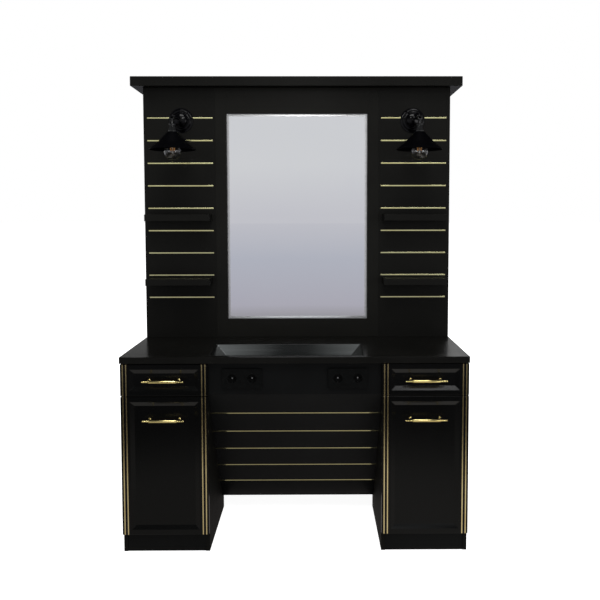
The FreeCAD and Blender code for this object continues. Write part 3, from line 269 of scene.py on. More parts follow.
@cache
def metal_lines():
    """Long hair lines left by a brush or a lathe, along the first axis of Vector."""
    group, start, end = new_group("Hair lines", {"Scale": 700.0}, ("Height", "Tone"))
    vector = start.outputs["Vector"]
    lines = noise(group, vector, start.outputs["Scale"], 3.0, 0.6, (0.012, 1.0, 1.0))
    broad = noise(group, vector, math_node(group, "MULTIPLY", start.outputs["Scale"], 0.12),
                  2.0, 0.5, (0.03, 1.0, 1.0))
    group.links.new(lines, end.inputs["Height"])
    tone = math_node(group, "ADD", math_node(group, "MULTIPLY", lines, 0.5),
                     math_node(group, "MULTIPLY", broad, 0.5))
    group.links.new(tone, end.inputs["Tone"])
    return group


def place_group(tree, group, vector, **values):
    """A node group with its own values in a material."""
    node = tree.nodes.new("ShaderNodeGroup")
    node.node_tree = group
    tree.links.new(vector, node.inputs["Vector"])
    for name, value in values.items():
        node.inputs[name].default_value = value
    return node


def begin(name):
    """A material with its Principled shader and object coordinates."""
    material = bpy.data.materials.new(name)
    tree, nodes, links = nodes_of(material)
    output = nodes.new("ShaderNodeOutputMaterial")
    shader = nodes.new("ShaderNodeBsdfPrincipled")
    links.new(shader.outputs["BSDF"], output.inputs["Surface"])
    where = nodes.new("ShaderNodeTexCoord").outputs["Object"]
    return material, tree, shader, where


def bump(tree, shader, height, distance, strength=1.0):
    node = tree.nodes.new("ShaderNodeBump")
    node.inputs["Distance"].default_value = distance
    node.inputs["Strength"].default_value = strength
    tree.links.new(height, node.inputs["Height"])
    tree.links.new(node.outputs["Normal"], shader.inputs["Normal"])


def rgba(colour):
    return (*colour, 1.0)


def tinted(colour, tint):
    return tuple(channel*share for channel, share in zip(colour, tint))


# ---------- materials

# Pattern scales count repeats per metre, and bump depths are in metres.
MARK_DULLING = 0.10              # roughness that a wiping mark adds
FILM_DULLING = 0.06              # roughness that the film on brass adds
BRASS_FILM = (0.80, 0.68, 0.52)


def surface(tree, shader, base, rough, height, depth, metallic=0.0, specular=0.5):
    """Wire colour, roughness and bump, and set what is the same all over."""
    tree.links.new(base, shader.inputs["Base Color"])
    tree.links.new(rough, shader.inputs["Roughness"])
    shader.inputs["Metallic"].default_value = metallic
    shader.inputs["Specular IOR Level"].default_value = specular
    bump(tree, shader, height, depth)


def black_board(name, colour, tint, rough, specular, skin=700.0, depth=0.00003, marks=0.5):
    """Black laminate, lacquer or enamel with a fine skin and faint wiping marks."""
    material, tree, shader, where = begin(name)
    # A tint other than plain lightens or darkens a copy of the finish to match how bright its part looks in the
    # light: painted light and shade.
    colour = tinted(colour, tint)
    mask = place_group(tree, handling_marks(), where, Scale=5.0, Amount=marks).outputs["Mask"]
    mottled = spread(tree, noise(tree, where, 2.2, 3.0), 0.35, 0.65)
    lifted = tuple(min(1.0, c*1.35 + 0.0002) for c in colour)
    smudged = tuple(c*2.0 + 0.0012 for c in colour)
    base = blend_colours(tree, mottled, rgba(colour), rgba(lifted))
    base = blend_colours(tree, math_node(tree, "MULTIPLY", mask, 0.35), base, rgba(smudged))
    surface(tree, shader, base,
            spread(tree, mask, 0.0, 1.0, rough, min(1.0, rough + MARK_DULLING)),
            place_group(tree, fine_skin(), where, Scale=skin).outputs["Height"], depth,
            specular=specular)
    return material


def brass(name, colour, rough, lines, depth):
    """Brass with hair lines, a warm darker film and a few dull spots."""
    material, tree, shader, where = begin(name)
    hair = place_group(tree, metal_lines(), where, Scale=lines)
    film = spread(tree, noise(tree, where, 14.0, 4.0, 0.6), 0.35, 0.7)
    aged = rgba(tinted(colour, BRASS_FILM))
    base = blend_colours(tree, math_node(tree, "MULTIPLY", film, 0.45), rgba(colour), aged)
    base = blend_colours(tree, math_node(tree, "MULTIPLY", hair.outputs["Tone"], 0.3), base,
                         aged)
    surface(tree, shader, base, spread(tree, film, 0.0, 1.0, rough, rough + FILM_DULLING),
            hair.outputs["Height"], depth, metallic=1.0)
    return material


def steel(name, colour, rough, lines, depth, uneven):
    """Steel brushed along X, duller and brighter along the lines."""
    material, tree, shader, where = begin(name)
    hair = place_group(tree, metal_lines(), where, Scale=lines)
    dark = tinted(colour, (0.55,)*3)
    surface(tree, shader,
            blend_colours(tree, hair.outputs["Tone"], rgba(dark), rgba(colour)),
            spread(tree, hair.outputs["Tone"], 0.3, 0.7, rough, rough + uneven),
            hair.outputs["Height"], depth, metallic=1.0)
    return material


def mirror_glass(name, colour, hazed):
    """Silvered glass: a little grey and blue, with the faintest haze."""
    material, tree, shader, where = begin(name)
    haze = spread(tree, noise(tree, where, 1.6, 3.0), 0.35, 0.7)
    tree.links.new(blend_colours(tree, haze, rgba(colour), rgba(hazed)),
                   shader.inputs["Base Color"])
    shader.inputs["Metallic"].default_value = 1.0
    tree.links.new(spread(tree, haze, 0.0, 1.0, 0.004, 0.018), shader.inputs["Roughness"])
    return material


def clear_glass(name, colour):
    """Lamp glass with slight waves."""
    material, tree, shader, where = begin(name)
    shader.inputs["Base Color"].default_value = rgba(colour)
    shader.inputs["Transmission Weight"].default_value = 1.0
    shader.inputs["IOR"].default_value = 1.45
    tree.links.new(spread(tree, noise(tree, where, 40.0, 2.0), 0.3, 0.7, 0.0, 0.02),
                   shader.inputs["Roughness"])
    bump(tree, shader, noise(tree, where, 45.0, 1.0), 0.0002, 0.4)
    return material


def painted_filament_glow(name, colour):
    """Carbon filament with a faint amber glow of its own though the bulb is not lit: a painted glow."""
    material, tree, shader, where = begin(name)
    tone = spread(tree, noise(tree, where, 900.0, 2.0), 0.3, 0.7)
    amber = blend_colours(tree, tone, rgba(tinted(colour, (0.5,)*3)), rgba(colour))
    tree.links.new(amber, shader.inputs["Base Color"])
    tree.links.new(amber, shader.inputs["Emission Color"])
    # Painted glow: the unlit filament gives off a faint amber light.
    shader.inputs["Emission Strength"].default_value = 0.30
    shader.inputs["Roughness"].default_value = 0.35
    return material


def moulded(name, colour, rough, specular):
    """Moulded plastic, or the filament's glass mount painted white as a highlight, with a very fine skin."""
    material, tree, shader, where = begin(name)
    tone = spread(tree, noise(tree, where, 60.0, 4.0), 0.3, 0.7)
    lifted = tuple(min(1.0, c*1.15 + 0.0004) for c in colour)
    surface(tree, shader, blend_colours(tree, tone, rgba(colour), rgba(lifted)),
            spread(tree, tone, 0.0, 1.0, rough, rough + 0.1),
            place_group(tree, fine_skin(), where, Scale=2200.0).outputs["Height"], 0.00002,
            specular=specular)
    return material


def birch(name, colour):
    """Clear lacquered plywood: long grain, growth bands and pores."""
    material, tree, shader, where = begin(name)
    grain = noise(tree, where, 26.0, 6.0, 0.62, (1.0, 0.09, 1.0))
    pores = noise(tree, where, 420.0, 2.0, 0.5, (1.0, 0.05, 1.0))
    pale = tuple(min(1.0, c*1.18) for c in colour)
    base = blend_colours(tree, spread(tree, grain, 0.3, 0.7), rgba(colour), rgba(pale))
    base = blend_colours(tree, spread(tree, pores, 0.6, 0.8, 0.0, 0.35), base,
                         rgba(tinted(colour, (0.55,)*3)))
    surface(tree, shader, base, spread(tree, grain, 0.3, 0.7, 0.36, 0.5), pores, 0.00006)
    return material


PLAIN = (1.0, 1.0, 1.0)
# Scale and depth of the skin, and share of the wiping marks.
WORKTOP_SKIN, CARCASS_SKIN = (700.0, 0.00003, 0.8), (350.0, 0.00006, 0.5)
LACQUER_SKIN = (420.0, 0.00003, 0.25)
GLOSS_SKIN, MATT_SKIN = (1400.0, 0.000006, 0.35), (1400.0, 0.00002, 0.35)

# What makes the finish, its title, its colour or the setting that holds it, and then:
# - black_board: tint, roughness, specular level, skin
# - brass: roughness, scale and depth of the hair lines
# - steel: roughness, scale and depth of the lines, roughness that they add
# - moulded: roughness, specular level
FINISHES = {
    "laminate": (black_board, "Black laminate", "boards.laminate", PLAIN, 0.40, 0.07),
    # Frame, worktop, side, knee and panel are the one black laminate made lighter or darker to match how bright
    # each part looks in the light: painted light and shade.
    "frame": (black_board, "Frame laminate", "boards.laminate", (1.35,)*3, 0.38, 0.06),
    "crown": (black_board, "Cornice laminate", "boards.laminate", PLAIN, 0.42, 0.06),
    "worktop": (black_board, "Worktop laminate", "boards.laminate", (0.7,)*3, 0.20, 0.12,
                *WORKTOP_SKIN),
    "side": (black_board, "Side laminate", "boards.laminate", (0.7,)*3, 0.64, 0.07),
    "knee": (black_board, "Knee laminate", "boards.laminate", (0.60, 0.65, 0.76), 0.40, 0.07),
    "panel": (black_board, "Panel laminate", "boards.laminate", (0.80, 0.86, 1.0), 0.40,
              0.07),
    "carcass": (black_board, "Carcass melamine", "boards.laminate", (1.4,)*3, 0.55, 0.2,
                *CARCASS_SKIN),
    "lacquer": (black_board, "Front lacquer", "boards.lacquer", PLAIN, 0.24, 0.17,
                *LACQUER_SKIN),
    "bevel": (black_board, "Polished bevel", "boards.lacquer", PLAIN, 0.16, 0.36,
              *LACQUER_SKIN),
    "enamel": (black_board, "Glossy enamel", "lamps.enamel", PLAIN, 0.08, 0.17, *GLOSS_SKIN),
    "holder": (black_board, "Polished enamel", "lamps.enamel", PLAIN, 0.08, 0.50,
               *GLOSS_SKIN),
    "shade": (black_board, "Matt enamel", "lamps.enamel", PLAIN, 0.45, 0.02, *MATT_SKIN),
    "inlay": (brass, "Inlay brass", "brass.inlay", 0.08, 500.0, 0.00001),
    "upright": (brass, "Upright brass", "brass.upright", 0.16, 500.0, 0.00001),
    "pull": (brass, "Pull brass", "brass.pull", 0.20, 900.0, 0.00002),
    "tray": (steel, "Tray steel", (0.48, 0.50, 0.50), 0.05, 640.0, 0.000002, 0.05),
    # The trays' end walls take a dark copy of the tray steel: painted shade.
    "tray_end": (steel, "Shaded tray steel", (0.045, 0.047, 0.047), 0.12, 640.0, 0.000002,
                 0.05),
    "runner": (steel, "Runner steel", (0.62, 0.63, 0.65), 0.32, 400.0, 0.00002, 0.14),
    # Near-black steel for the earth springs down in the wells: painted shade.
    "contact": (steel, "Dull contact steel", (0.06, 0.06, 0.06), 0.4, 900.0, 0.00001, 0.14),
    "ground": (steel, "Ground mirror edge", PLAIN, 0.30, 300.0, 0.000004, 0.06),
    # The filament's glass mount is made opaque white to show as a bright spot: a painted highlight.
    "bead": (moulded, "Glass bead", (0.82, 0.82, 0.78), 0.08, 0.5),
    "socket": (moulded, "Socket plastic", (0.0034, 0.0036, 0.0036), 0.16, 0.06),
    "plastic": (moulded, "Matt plastic", (0.012, 0.012, 0.012), 0.5, 0.4),
    "birch": (birch, "Birch ply", "boards.birch"),
    "mirror": (mirror_glass, "Mirror glass", (0.900, 0.905, 0.935), (0.875, 0.882, 0.925)),
    "glass": (clear_glass, "Bulb glass", (0.97, 0.97, 0.96)),
    "filament": (painted_filament_glow, "Filament", "lamps.filament"),
}


@cache
def finish(name):
    """The named finish, made once, with its colour from the settings."""
    make, title, colour, *values = FINISHES[name]
    if isinstance(colour, str):
        group, setting = colour.split(".")
        colour = tuple(getattr(getattr(bpy.context.scene, "station_" + group), setting))
    return make(title, colour, *values)


# ---------- mesh tools

def dress(node, material_name):
    """Give a CAD node its finish."""
    for holder in frame["nodes"][node].material_slots:
        holder.material = finish(material_name)


def body_of(node):
    """The body that a CAD node moves with."""
    for body, members in frame["record"]["behaviour"]["bodies"].items():
        if node in members:
            return body
    raise ValueError("no body holds " + node)


def round_shading(bm):
    """Smooth faces with the sharp edges kept."""
    for face in bm.faces:
        face.smooth = True
    for edge in bm.edges:
        edge.smooth = len(edge.link_faces) == 2 and edge.calc_face_angle(0.0) < SHARP


def piece_from(bm, name, material_names, body, smooth=True):
    """A finished piece whose object stands at the origin."""
    bmesh.ops.remove_doubles(bm, verts=bm.verts, dist=SAME_POINT)
    bmesh.ops.recalc_face_normals(bm, faces=bm.faces)
    if smooth:
        round_shading(bm)
    mesh = bpy.data.meshes.new(name)
    bm.to_mesh(mesh)
    bm.free()
    for material_name in material_names:
        mesh.materials.append(finish(material_name))
    thing = bpy.data.objects.new(name, mesh)
    bpy.context.scene.collection.objects.link(thing)
    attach(thing, body)
    return thing


def merged_copy(node):
    """A bmesh of a CAD node's solids, with whole faces instead of triangles."""
    bm = bmesh.new()
    bm.from_mesh(frame["nodes"][node].data)
    bmesh.ops.remove_doubles(bm, verts=bm.verts, dist=2*SAME_POINT)
    bmesh.ops.dissolve_limit(bm, angle_limit=SAME_PLANE, verts=bm.verts,
                             edges=bm.edges)
    return bm


def ease_edges(bm, width):
    """Round the hard edges of boards and plates."""
    hard = [edge for edge in bm.edges
            if len(edge.link_faces) == 2 and edge.calc_face_angle(0.0) > SHARP]
    bevel(bm, hard, width)


def bevel(bm, edges, width):
    bmesh.ops.bevel(bm, geom=edges, offset=width, offset_type="OFFSET",
                    segments=EASE_SEGMENTS, profile=0.5, affect="EDGES",
                    clamp_overlap=True, material=-1)


def stand_in(bm, node, ending, *material_names, smooth=True):
    """A finished piece in a CAD node's place, on its body, with the CAD node hidden."""
    piece = piece_from(bm, node + ending, material_names, body_of(node),
                       smooth)
    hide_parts(node)
    return piece


def eased(node, width, *material_names):
    """Stand a copy with softened edges in a CAD node's place."""
    bm = merged_copy(node)
    ease_edges(bm, width)
    bmesh.ops.triangulate(bm, faces=[f for f in bm.faces if len(f.verts) > 4])
    return stand_in(bm, node, "_eased", *material_names, smooth=False)


def lathe(bm, profile, steps, place=Matrix.Identity(4)):
    """Spin (radius, height) pairs about Z, then set the piece down at place."""
    verts = [bm.verts.new((radius, 0.0, height)) for radius, height in profile]
    edges = [bm.edges.new(pair) for pair in zip(verts, verts[1:])]
    bmesh.ops.spin(bm, geom=verts + edges, cent=(0, 0, 0), axis=(0, 0, 1),
                   angle=math.tau, steps=steps, use_merge=True)
    bmesh.ops.transform(bm, matrix=place, verts=list(connected(verts[0])))


def connected(seed):
    """All the corners joined to one corner."""
    found = {seed}
    waiting = [seed]
    while waiting:
        for edge in waiting.pop().link_edges:
            for vert in edge.verts:
                if vert not in found:
                    found.add(vert)
                    waiting.append(vert)
    return found


def block(bm, low, high, ease):
    """A block between two corners, with its edges rounded."""
    low, high = Vector(low), Vector(high)
    made = bmesh.ops.create_cube(
        bm, size=1.0, matrix=(Matrix.Translation((low + high)/2)
                              @ Matrix.Diagonal((*(high - low), 1.0))))
    edges = {edge for vert in made["verts"] for edge in vert.link_edges}
    bevel(bm, list(edges), ease)


def joint_place(name):
    """Where a joint's axis passes."""
    for joint in frame["joints"]:
        if joint["name"] == name:
            return Vector(joint["pos_m"])
    raise ValueError("no joint called " + name)


# ---------- turned shapes

# Radius and height in millimetres. Canopies are turned from the wall outwards. A lamp's
# other pieces hang down from the joint at its arm's end.
CANOPY = ((0, 0), (60, 0), (60, 3), (59.2, 4), (52.5, 4.4), (50.5, 5.2), (50, 6.6),
          (49.2, 9.2), (48, 10), (45.5, 9.6), (41, 10), (39.8, 10.6), (38.8, 10.8),
          (37.8, 10.2), (36.8, 9.4), (34.5, 9), (33.3, 9.2), (33, 10), (32.2, 14),
          (30, 17.8), (27.5, 20), (25, 21.2), (15, 24.5), (9, 25.8), (7, 27), (6.8, 34.5),
          (0, 34.5))
WALL_TO_PIVOT = 0.040
BARREL = ((0, -7), (7.4, -7), (8, -6.4), (8, 6.4), (7.4, 7), (0, 7))
HOLDER = ((0, -10.5), (5.8, -10.5), (5.8, -15), (6.6, -16.5), (7, -18.2), (6.6, -19.9),
          (5.4, -21.4), (5, -26.2), (5.8, -28.8), (7.2, -30.4), (11, -31.4), (15, -31.9),
          (16.6, -32.2), (17.6, -33), (18, -34.1), (17.6, -35.2), (16, -36),
          (15.5, -37.2), (15.9, -42), (16.4, -48), (17.1, -56), (17.7, -64), (18, -69),
          (17.9, -71.2), (17.2, -72), (15.5, -72), (15.5, -91.2), (14.9, -92),
          (14, -91.4), (14, -62), (0, -62))
SHADE = ((15.5, -72.2), (19, -71.6), (21.2, -71.8), (22.4, -72.8), (30, -80.4),
         (46, -97.4), (60, -112.3), (68.4, -121.2), (70.8, -123.4), (78, -129),
         (90, -138.5), (101, -147.3), (106.6, -152), (107.8, -153.2), (108, -154.6),
         (107.6, -155.8), (106.8, -156), (106.2, -155.2), (105.6, -153.6), (100, -148.8),
         (89, -140), (77, -130.6), (69.6, -124.9), (67.2, -122.8), (58.8, -113.8),
         (44.8, -98.9), (29, -82), (21.4, -74.2), (19, -73.6), (15.5, -73.6),
         (15.5, -72.2))
EAR = ((0, 6.3), (7.8, 6.3), (8.3, 6.8), (8.3, 9.6), (7.6, 10.3), (4.2, 10.3), (4, 11.8),
       (3, 12.3), (0, 12.3))
CAP_TOP = ((0, -62.2), (4.5, -62.2), (5.2, -62.8), (11, -64.8))
CAP_THREAD = ((12.3, 0), (13.3, -1.2), (12.3, -2.4))
CAP_FOOT = ((12.8, -88.4), (13.4, -90), (13.5, -93.6), (12.8, -94), (12.4, -92), (0, -91.4))
THREADS, THREAD_TOP, THREAD_PITCH = 7, -66.0, 3.1
MOUNT = ((0, -91.6), (8, -91.8), (6.5, -96), (4, -102), (3.2, -113), (4.2, -118),
         (4.8, -120), (4, -121.6), (2.2, -123.5), (1.8, -164), (3, -166), (4.2, -169),
         (4, -171.2), (2.4, -172.8), (0, -173.2))
GLOBE_RADIUS, GLOBE_CENTRE, GLOBE_STEPS = 0.0400, -0.1630, 26
GLASS_WALL, NECK, THROAT = 0.0008, 0.0175, 0.0165
# Share of a loop's turn, height and distance from the bulb's middle.
FILAMENT_LOOP = ((0.0, -123.2, 6.2), (0.12, -130, 9), (0.25, -145, 10.8),
                 (0.42, -159, 10.4), (0.50, -162.2, 9.6), (0.58, -159, 10.4),
                 (0.75, -145, 10.8), (0.88, -130, 9))
FILAMENT_WIRE = 0.00050
WELL_SCREW = ((0, 0), (3.3, 0), (3.3, 0.8), (2.8, 1.4), (0.9, 1.5), (0.9, 0.6), (0, 0.6))
SPRING_OUT, SPRING_HALF, SPRING_RISE = 0.0178, (0.0028, 0.0009), 0.004
# How far the fork's ears reach aside, half its thickness, and heights under the pin.
FORK_INNER, FORK_OUTER, FORK_HALF = 0.0063, 0.0103, 0.0068
EAR_FOOT, BRIDGE_FOOT, BRIDGE_TOP = -0.0145, -0.0150, -0.0100
# Share of the bar's radius, and millimetres past the post or short of the bar's end.
BAR_BEADS = ((1.0, -7.5), (0.92, -6.6), (1.04, -6.0), (1.06, -5.0), (0.94, -4.2),
             (0.62, -3.0), (0.52, -1.4), (0.52, 2.4), (0.66, 4.0), (0.72, 5.4),
             (0.60, 6.8), (0.42, 8.2), (0.44, 11.0), (0.60, 14.0), (0.66, 15.8),
             (0.52, 18.0))
BAR_END = ((0.38, 6.6), (0.46, 4.8), (0.52, 3.0), (0.40, 0.8))


def metres(profile):
    """A profile in millimetres as one in metres."""
    return [tuple(number/1000 for number in point) for point in profile]


# ---------- operators

class STATION_OT_tower(bpy.types.Operator):
    """Crown, tower boards, slat panels and mirror frames"""
    bl_idname = "station.tower"
    bl_label = "Tower"

    def execute(self, context):
        width = context.scene.station_boards.ease
        eased("crown", 2*width, "crown")
        eased("tower_sides", width, "laminate")
        eased("slat_panels", width/3, "laminate")
        eased("mirror_frames", width, "frame")
        dress("tower_core", "carcass")
        self.glass()
        return {"FINISHED"}

    def glass(self):
        """The mirrors, with a duller finish on their ground edges."""
        piece = stand_in(merged_copy("mirrors"), "mirrors", "_ground", "mirror", "ground",
                         smooth=False)
        for face in piece.data.polygons:
            if abs(face.normal.y) < MIRROR_FACE:
                face.material_index = 1


class STATION_OT_shelves(bpy.types.Operator):
    """Shelves and the rods that carry them"""
    bl_idname = "station.shelves"
    bl_label = "Shelves"

    def execute(self, context):
        eased("shelves", context.scene.station_boards.ease, "laminate")
        dress("shelf_rods", "runner")
        return {"FINISHED"}


class STATION_OT_worktop(bpy.types.Operator):
    """Worktop and its brushed trays"""
    bl_idname = "station.worktop"
    bl_label = "Worktop"

    def execute(self, context):
        eased("countertop", 1.6*context.scene.station_boards.ease, "worktop")
        trays = eased("tool_trays", TRAY_EASE, "tray", "worktop", "tray_end")
        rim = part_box("tool_trays")[1].z - TRAY_RIM
        # Rim faces take the worktop finish, and the sloped end walls take the dark steel, which is painted shade.
        for face in trays.data.polygons:
            if face.center.z > rim:
                face.material_index = 1
            elif abs(face.normal.x) > TRAY_END_SLOPE:
                face.material_index = 2
        return {"FINISHED"}


class STATION_OT_pedestals(bpy.types.Operator):
    """Carcass boards, plinths, feet and runners"""
    bl_idname = "station.pedestals"
    bl_label = "Pedestals"

    def execute(self, context):
        width = context.scene.station_boards.ease
        eased("pedestal_sides", width, "side")
        eased("plinths", width, "knee")
        dress("pedestal_panels", "carcass")
        dress("spine_boards", "side")
        dress("carcass_runners", "runner")
        dress("levelling_glides", "plastic")
        dress("cable_gland", "plastic")
        return {"FINISHED"}


class STATION_OT_fronts(bpy.types.Operator):
    """Drawer and pull-out fronts and their boxes"""
    bl_idname = "station.fronts"
    bl_label = "Fronts"

    def execute(self, context):
        low, high = BEVEL_SLOPE
        for corner in CORNERS:
            for unit in UNITS:
                front = eased("%s_front_%s" % (unit, corner),
                              context.scene.station_boards.front_ease, "lacquer", "bevel")
                for face in front.data.polygons:
                    if abs(face.normal.y) < BEVEL_FACE and low < abs(face.normal.z) < high:
                        face.material_index = 1
                dress("%s_box_%s" % (unit, corner), "birch")
        return {"FINISHED"}


class STATION_OT_brass(bpy.types.Operator):
    """Turned pulls and upright inlays of the fronts"""
    bl_idname = "station.brass"
    bl_label = "Brass of the fronts"

    def execute(self, context):
        for corner in CORNERS:
            for unit in UNITS:
                self.dress_front(context.scene.station_brass,
                                 "%s_brass_%s" % (unit, corner),
                                 "%s_front_%s" % (unit, corner))
        return {"FINISHED"}

    def dress_front(self, settings, node, front):
        low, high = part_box(front)
        rear = low.y > 0
        face_y = high.y if rear else low.y
        outward = 1.0 if rear else -1.0
        bm = merged_copy(node)
        proud = [vert for vert in bm.verts
                 if (vert.co.y - face_y)*outward > INLAY_STANDS_UNDER]
        pull = connected(proud[0])
        out = [(vert.co.y - face_y)*outward for vert in pull]
        across = [vert.co.x for vert in pull]
        up = [vert.co.z for vert in pull]
        middle_x, length = (max(across) + min(across))/2, max(across) - min(across)
        level, thickness = (max(up) + min(up))/2, max(up) - min(up)
        bmesh.ops.delete(bm, geom=list(pull), context="VERTS")
        ease_edges(bm, settings.ease)
        bar_y = face_y + outward*(max(out) - thickness/2)
        self.turned_bar(bm, settings, length, Vector((middle_x, bar_y, level)))
        depth = abs(bar_y - face_y) - min(out)
        for side in (-1, 1):
            foot = Vector((middle_x + side*settings.post_centres/2, bar_y, level))
            lathe(bm, self.post(depth), POST_STEPS,
                  Matrix.Translation(foot)
                  @ Matrix.Rotation(outward*QUARTER, 4, "X"))
        piece = stand_in(bm, node, "_turned", "pull", "upright")
        for face in piece.data.polygons:
            aside = abs(face.center.x - middle_x) > length/2
            if aside and (face.center.y - face_y)*outward < INLAY_FLUSH:
                face.material_index = 1
                face.use_smooth = False

    def post(self, depth):
        """Waisted post from inside the bar to the rose on the front."""
        return [(0.0, 0.0), (0.0034, 0.0), (0.0030, 0.008), (0.0029, depth*0.45),
                (0.0033, depth*0.62), (0.0040, depth*0.66), (0.0040, depth*0.70),
                (0.0034, depth*0.74), (0.0036, depth - 0.0034), (0.0052, depth - 0.0024),
                (0.0052, depth - 0.0006), (0.0048, depth), (0.0, depth)]

    def turned_bar(self, bm, settings, length, middle):
        """Barrel, beads, necks and finials of a pull."""
        bar, post = settings.bar_radius, settings.post_centres/2
        half = [(bar, 0.0)]
        half += [(bar*share, post + past/1000) for share, past in BAR_BEADS]
        half += [(bar*share, length/2 - short/1000) for share, short in BAR_END]
        half.append((0.0, length/2))
        profile = [(r, -h) for r, h in reversed(half)] + half[1:]
        lathe(bm, profile, BAR_STEPS, Matrix.Translation(middle)
              @ Matrix.Rotation(QUARTER, 4, "Y"))


class STATION_OT_inlays(bpy.types.Operator):
    """Level inlays of the tower and the knee panels"""
    bl_idname = "station.inlays"
    bl_label = "Level inlays"

    def execute(self, context):
        eased("brass_inlays", context.scene.station_brass.ease/2, "inlay")
        return {"FINISHED"}


class STATION_OT_knee_space(bpy.types.Operator):
    """Aprons and sloped knee panels"""
    bl_idname = "station.knee_space"
    bl_label = "Knee space"

    def execute(self, context):
        width = context.scene.station_boards.ease
        eased("aprons", width/2, "knee")
        eased("knee_panels", width/3, "panel")
        return {"FINISHED"}


class STATION_OT_sockets(bpy.types.Operator):
    """Socket plates, wells, contacts and screws"""
    bl_idname = "station.sockets"
    bl_label = "Sockets"

    def execute(self, context):
        eased("socket_frames", PLATE_EASE, "socket")
        eased("socket_inserts", WELL_EASE, "socket")
        bm = bmesh.new()
        for opening in frame["record"]["physics"]["openings"]:
            if opening["name"].startswith("socket_well"):
                self.well_metal(bm, opening["box_m"])
        piece_from(bm, "socket_contacts", ("runner", "contact"), body_of("socket_inserts"))
        return {"FINISHED"}

    def well_metal(self, bm, box):
        """Centre screw and the two earth springs of one well; the springs take dark steel, painted shade."""
        low, high = Vector(box[0]), Vector(box[1])
        middle = (low + high)/2
        outward = -1.0 if middle.y < 0 else 1.0
        floor = min(abs(low.y), abs(high.y))*outward - outward*0.002
        turn = Matrix.Rotation(-outward*QUARTER, 4, "X")
        lathe(bm, metres(WELL_SCREW), 20,
              Matrix.Translation((middle.x, floor, middle.z)) @ turn)
        screws = len(bm.faces)
        half_x, half_z = SPRING_HALF
        rise = sorted((floor, floor + outward*SPRING_RISE))
        for side in (-1, 1):
            z = middle.z + side*SPRING_OUT
            block(bm, (middle.x - half_x, rise[0], z - half_z),
                  (middle.x + half_x, rise[1], z + half_z), SMALL_EASE)
        bm.faces.ensure_lookup_table()
        for face in bm.faces[screws:]:
            face.material_index = 1


class STATION_OT_lamps(bpy.types.Operator):
    """Canopies, arms, lampholders and shades"""
    bl_idname = "station.lamps"
    bl_label = "Lamps"

    def execute(self, context):
        steps = context.scene.station_lamps.steps
        self.canopies(steps)
        for corner in CORNERS:
            self.arm("lamp_arm_" + corner)
            self.shade("lamp_shade_" + corner, joint_place("lamp_arm_%s_swivel" % corner),
                       steps)
        return {"FINISHED"}

    def canopies(self, steps):
        bm = bmesh.new()
        for corner in CORNERS:
            pivot = joint_place("lamp_arm_%s_swivel" % corner)
            outward = -1.0 if pivot.y < 0 else 1.0
            turn = Matrix.Rotation(-outward*QUARTER, 4, "X")
            wall = (pivot.x, pivot.y - outward*WALL_TO_PIVOT, pivot.z)
            lathe(bm, metres(CANOPY), steps, Matrix.Translation(wall) @ turn)
            lathe(bm, metres(BARREL), 32, Matrix.Translation(pivot))
        stand_in(bm, "lamp_canopies", "_turned", "enamel")

    def arm(self, node):
        bm = merged_copy(node)
        ease_edges(bm, SMALL_EASE)
        stand_in(bm, node, "_eased", "enamel")

    def shade(self, node, pivot, steps):
        """Lampholder, fork and two-cone shade, turned to face along the arm."""
        joint = joint_place(node + "_tilt")
        along = joint - pivot
        heading = math.atan2(along.y, along.x) + QUARTER
        spot = Matrix.Translation(joint) @ Matrix.Rotation(heading, 4, "Z")
        bm = bmesh.new()
        lathe(bm, metres(HOLDER), 48, spot)
        holder_faces = len(bm.faces)
        lathe(bm, metres(SHADE), steps, spot)
        bm.faces.ensure_lookup_table()
        for face in bm.faces[holder_faces:]:
            face.material_index = 1
        self.fork(bm, spot)
        stand_in(bm, node, "_turned", "holder", "shade")

    def fork(self, bm, spot):
        """The two ears beside the knuckle, their bridge and the pin's heads."""
        start = set(bm.verts)
        for side in (-1, 1):
            lathe(bm, metres(EAR), 32, Matrix.Rotation(side*QUARTER, 4, "Y"))
            near, far = sorted((side*FORK_INNER, side*FORK_OUTER))
            block(bm, (near, -FORK_HALF, EAR_FOOT), (far, FORK_HALF, 0.0), SMALL_EASE)
        block(bm, (-FORK_OUTER, -FORK_HALF, BRIDGE_FOOT),
              (FORK_OUTER, FORK_HALF, BRIDGE_TOP), SMALL_EASE)
        bmesh.ops.transform(bm, matrix=spot, verts=[v for v in bm.verts if v not in start])


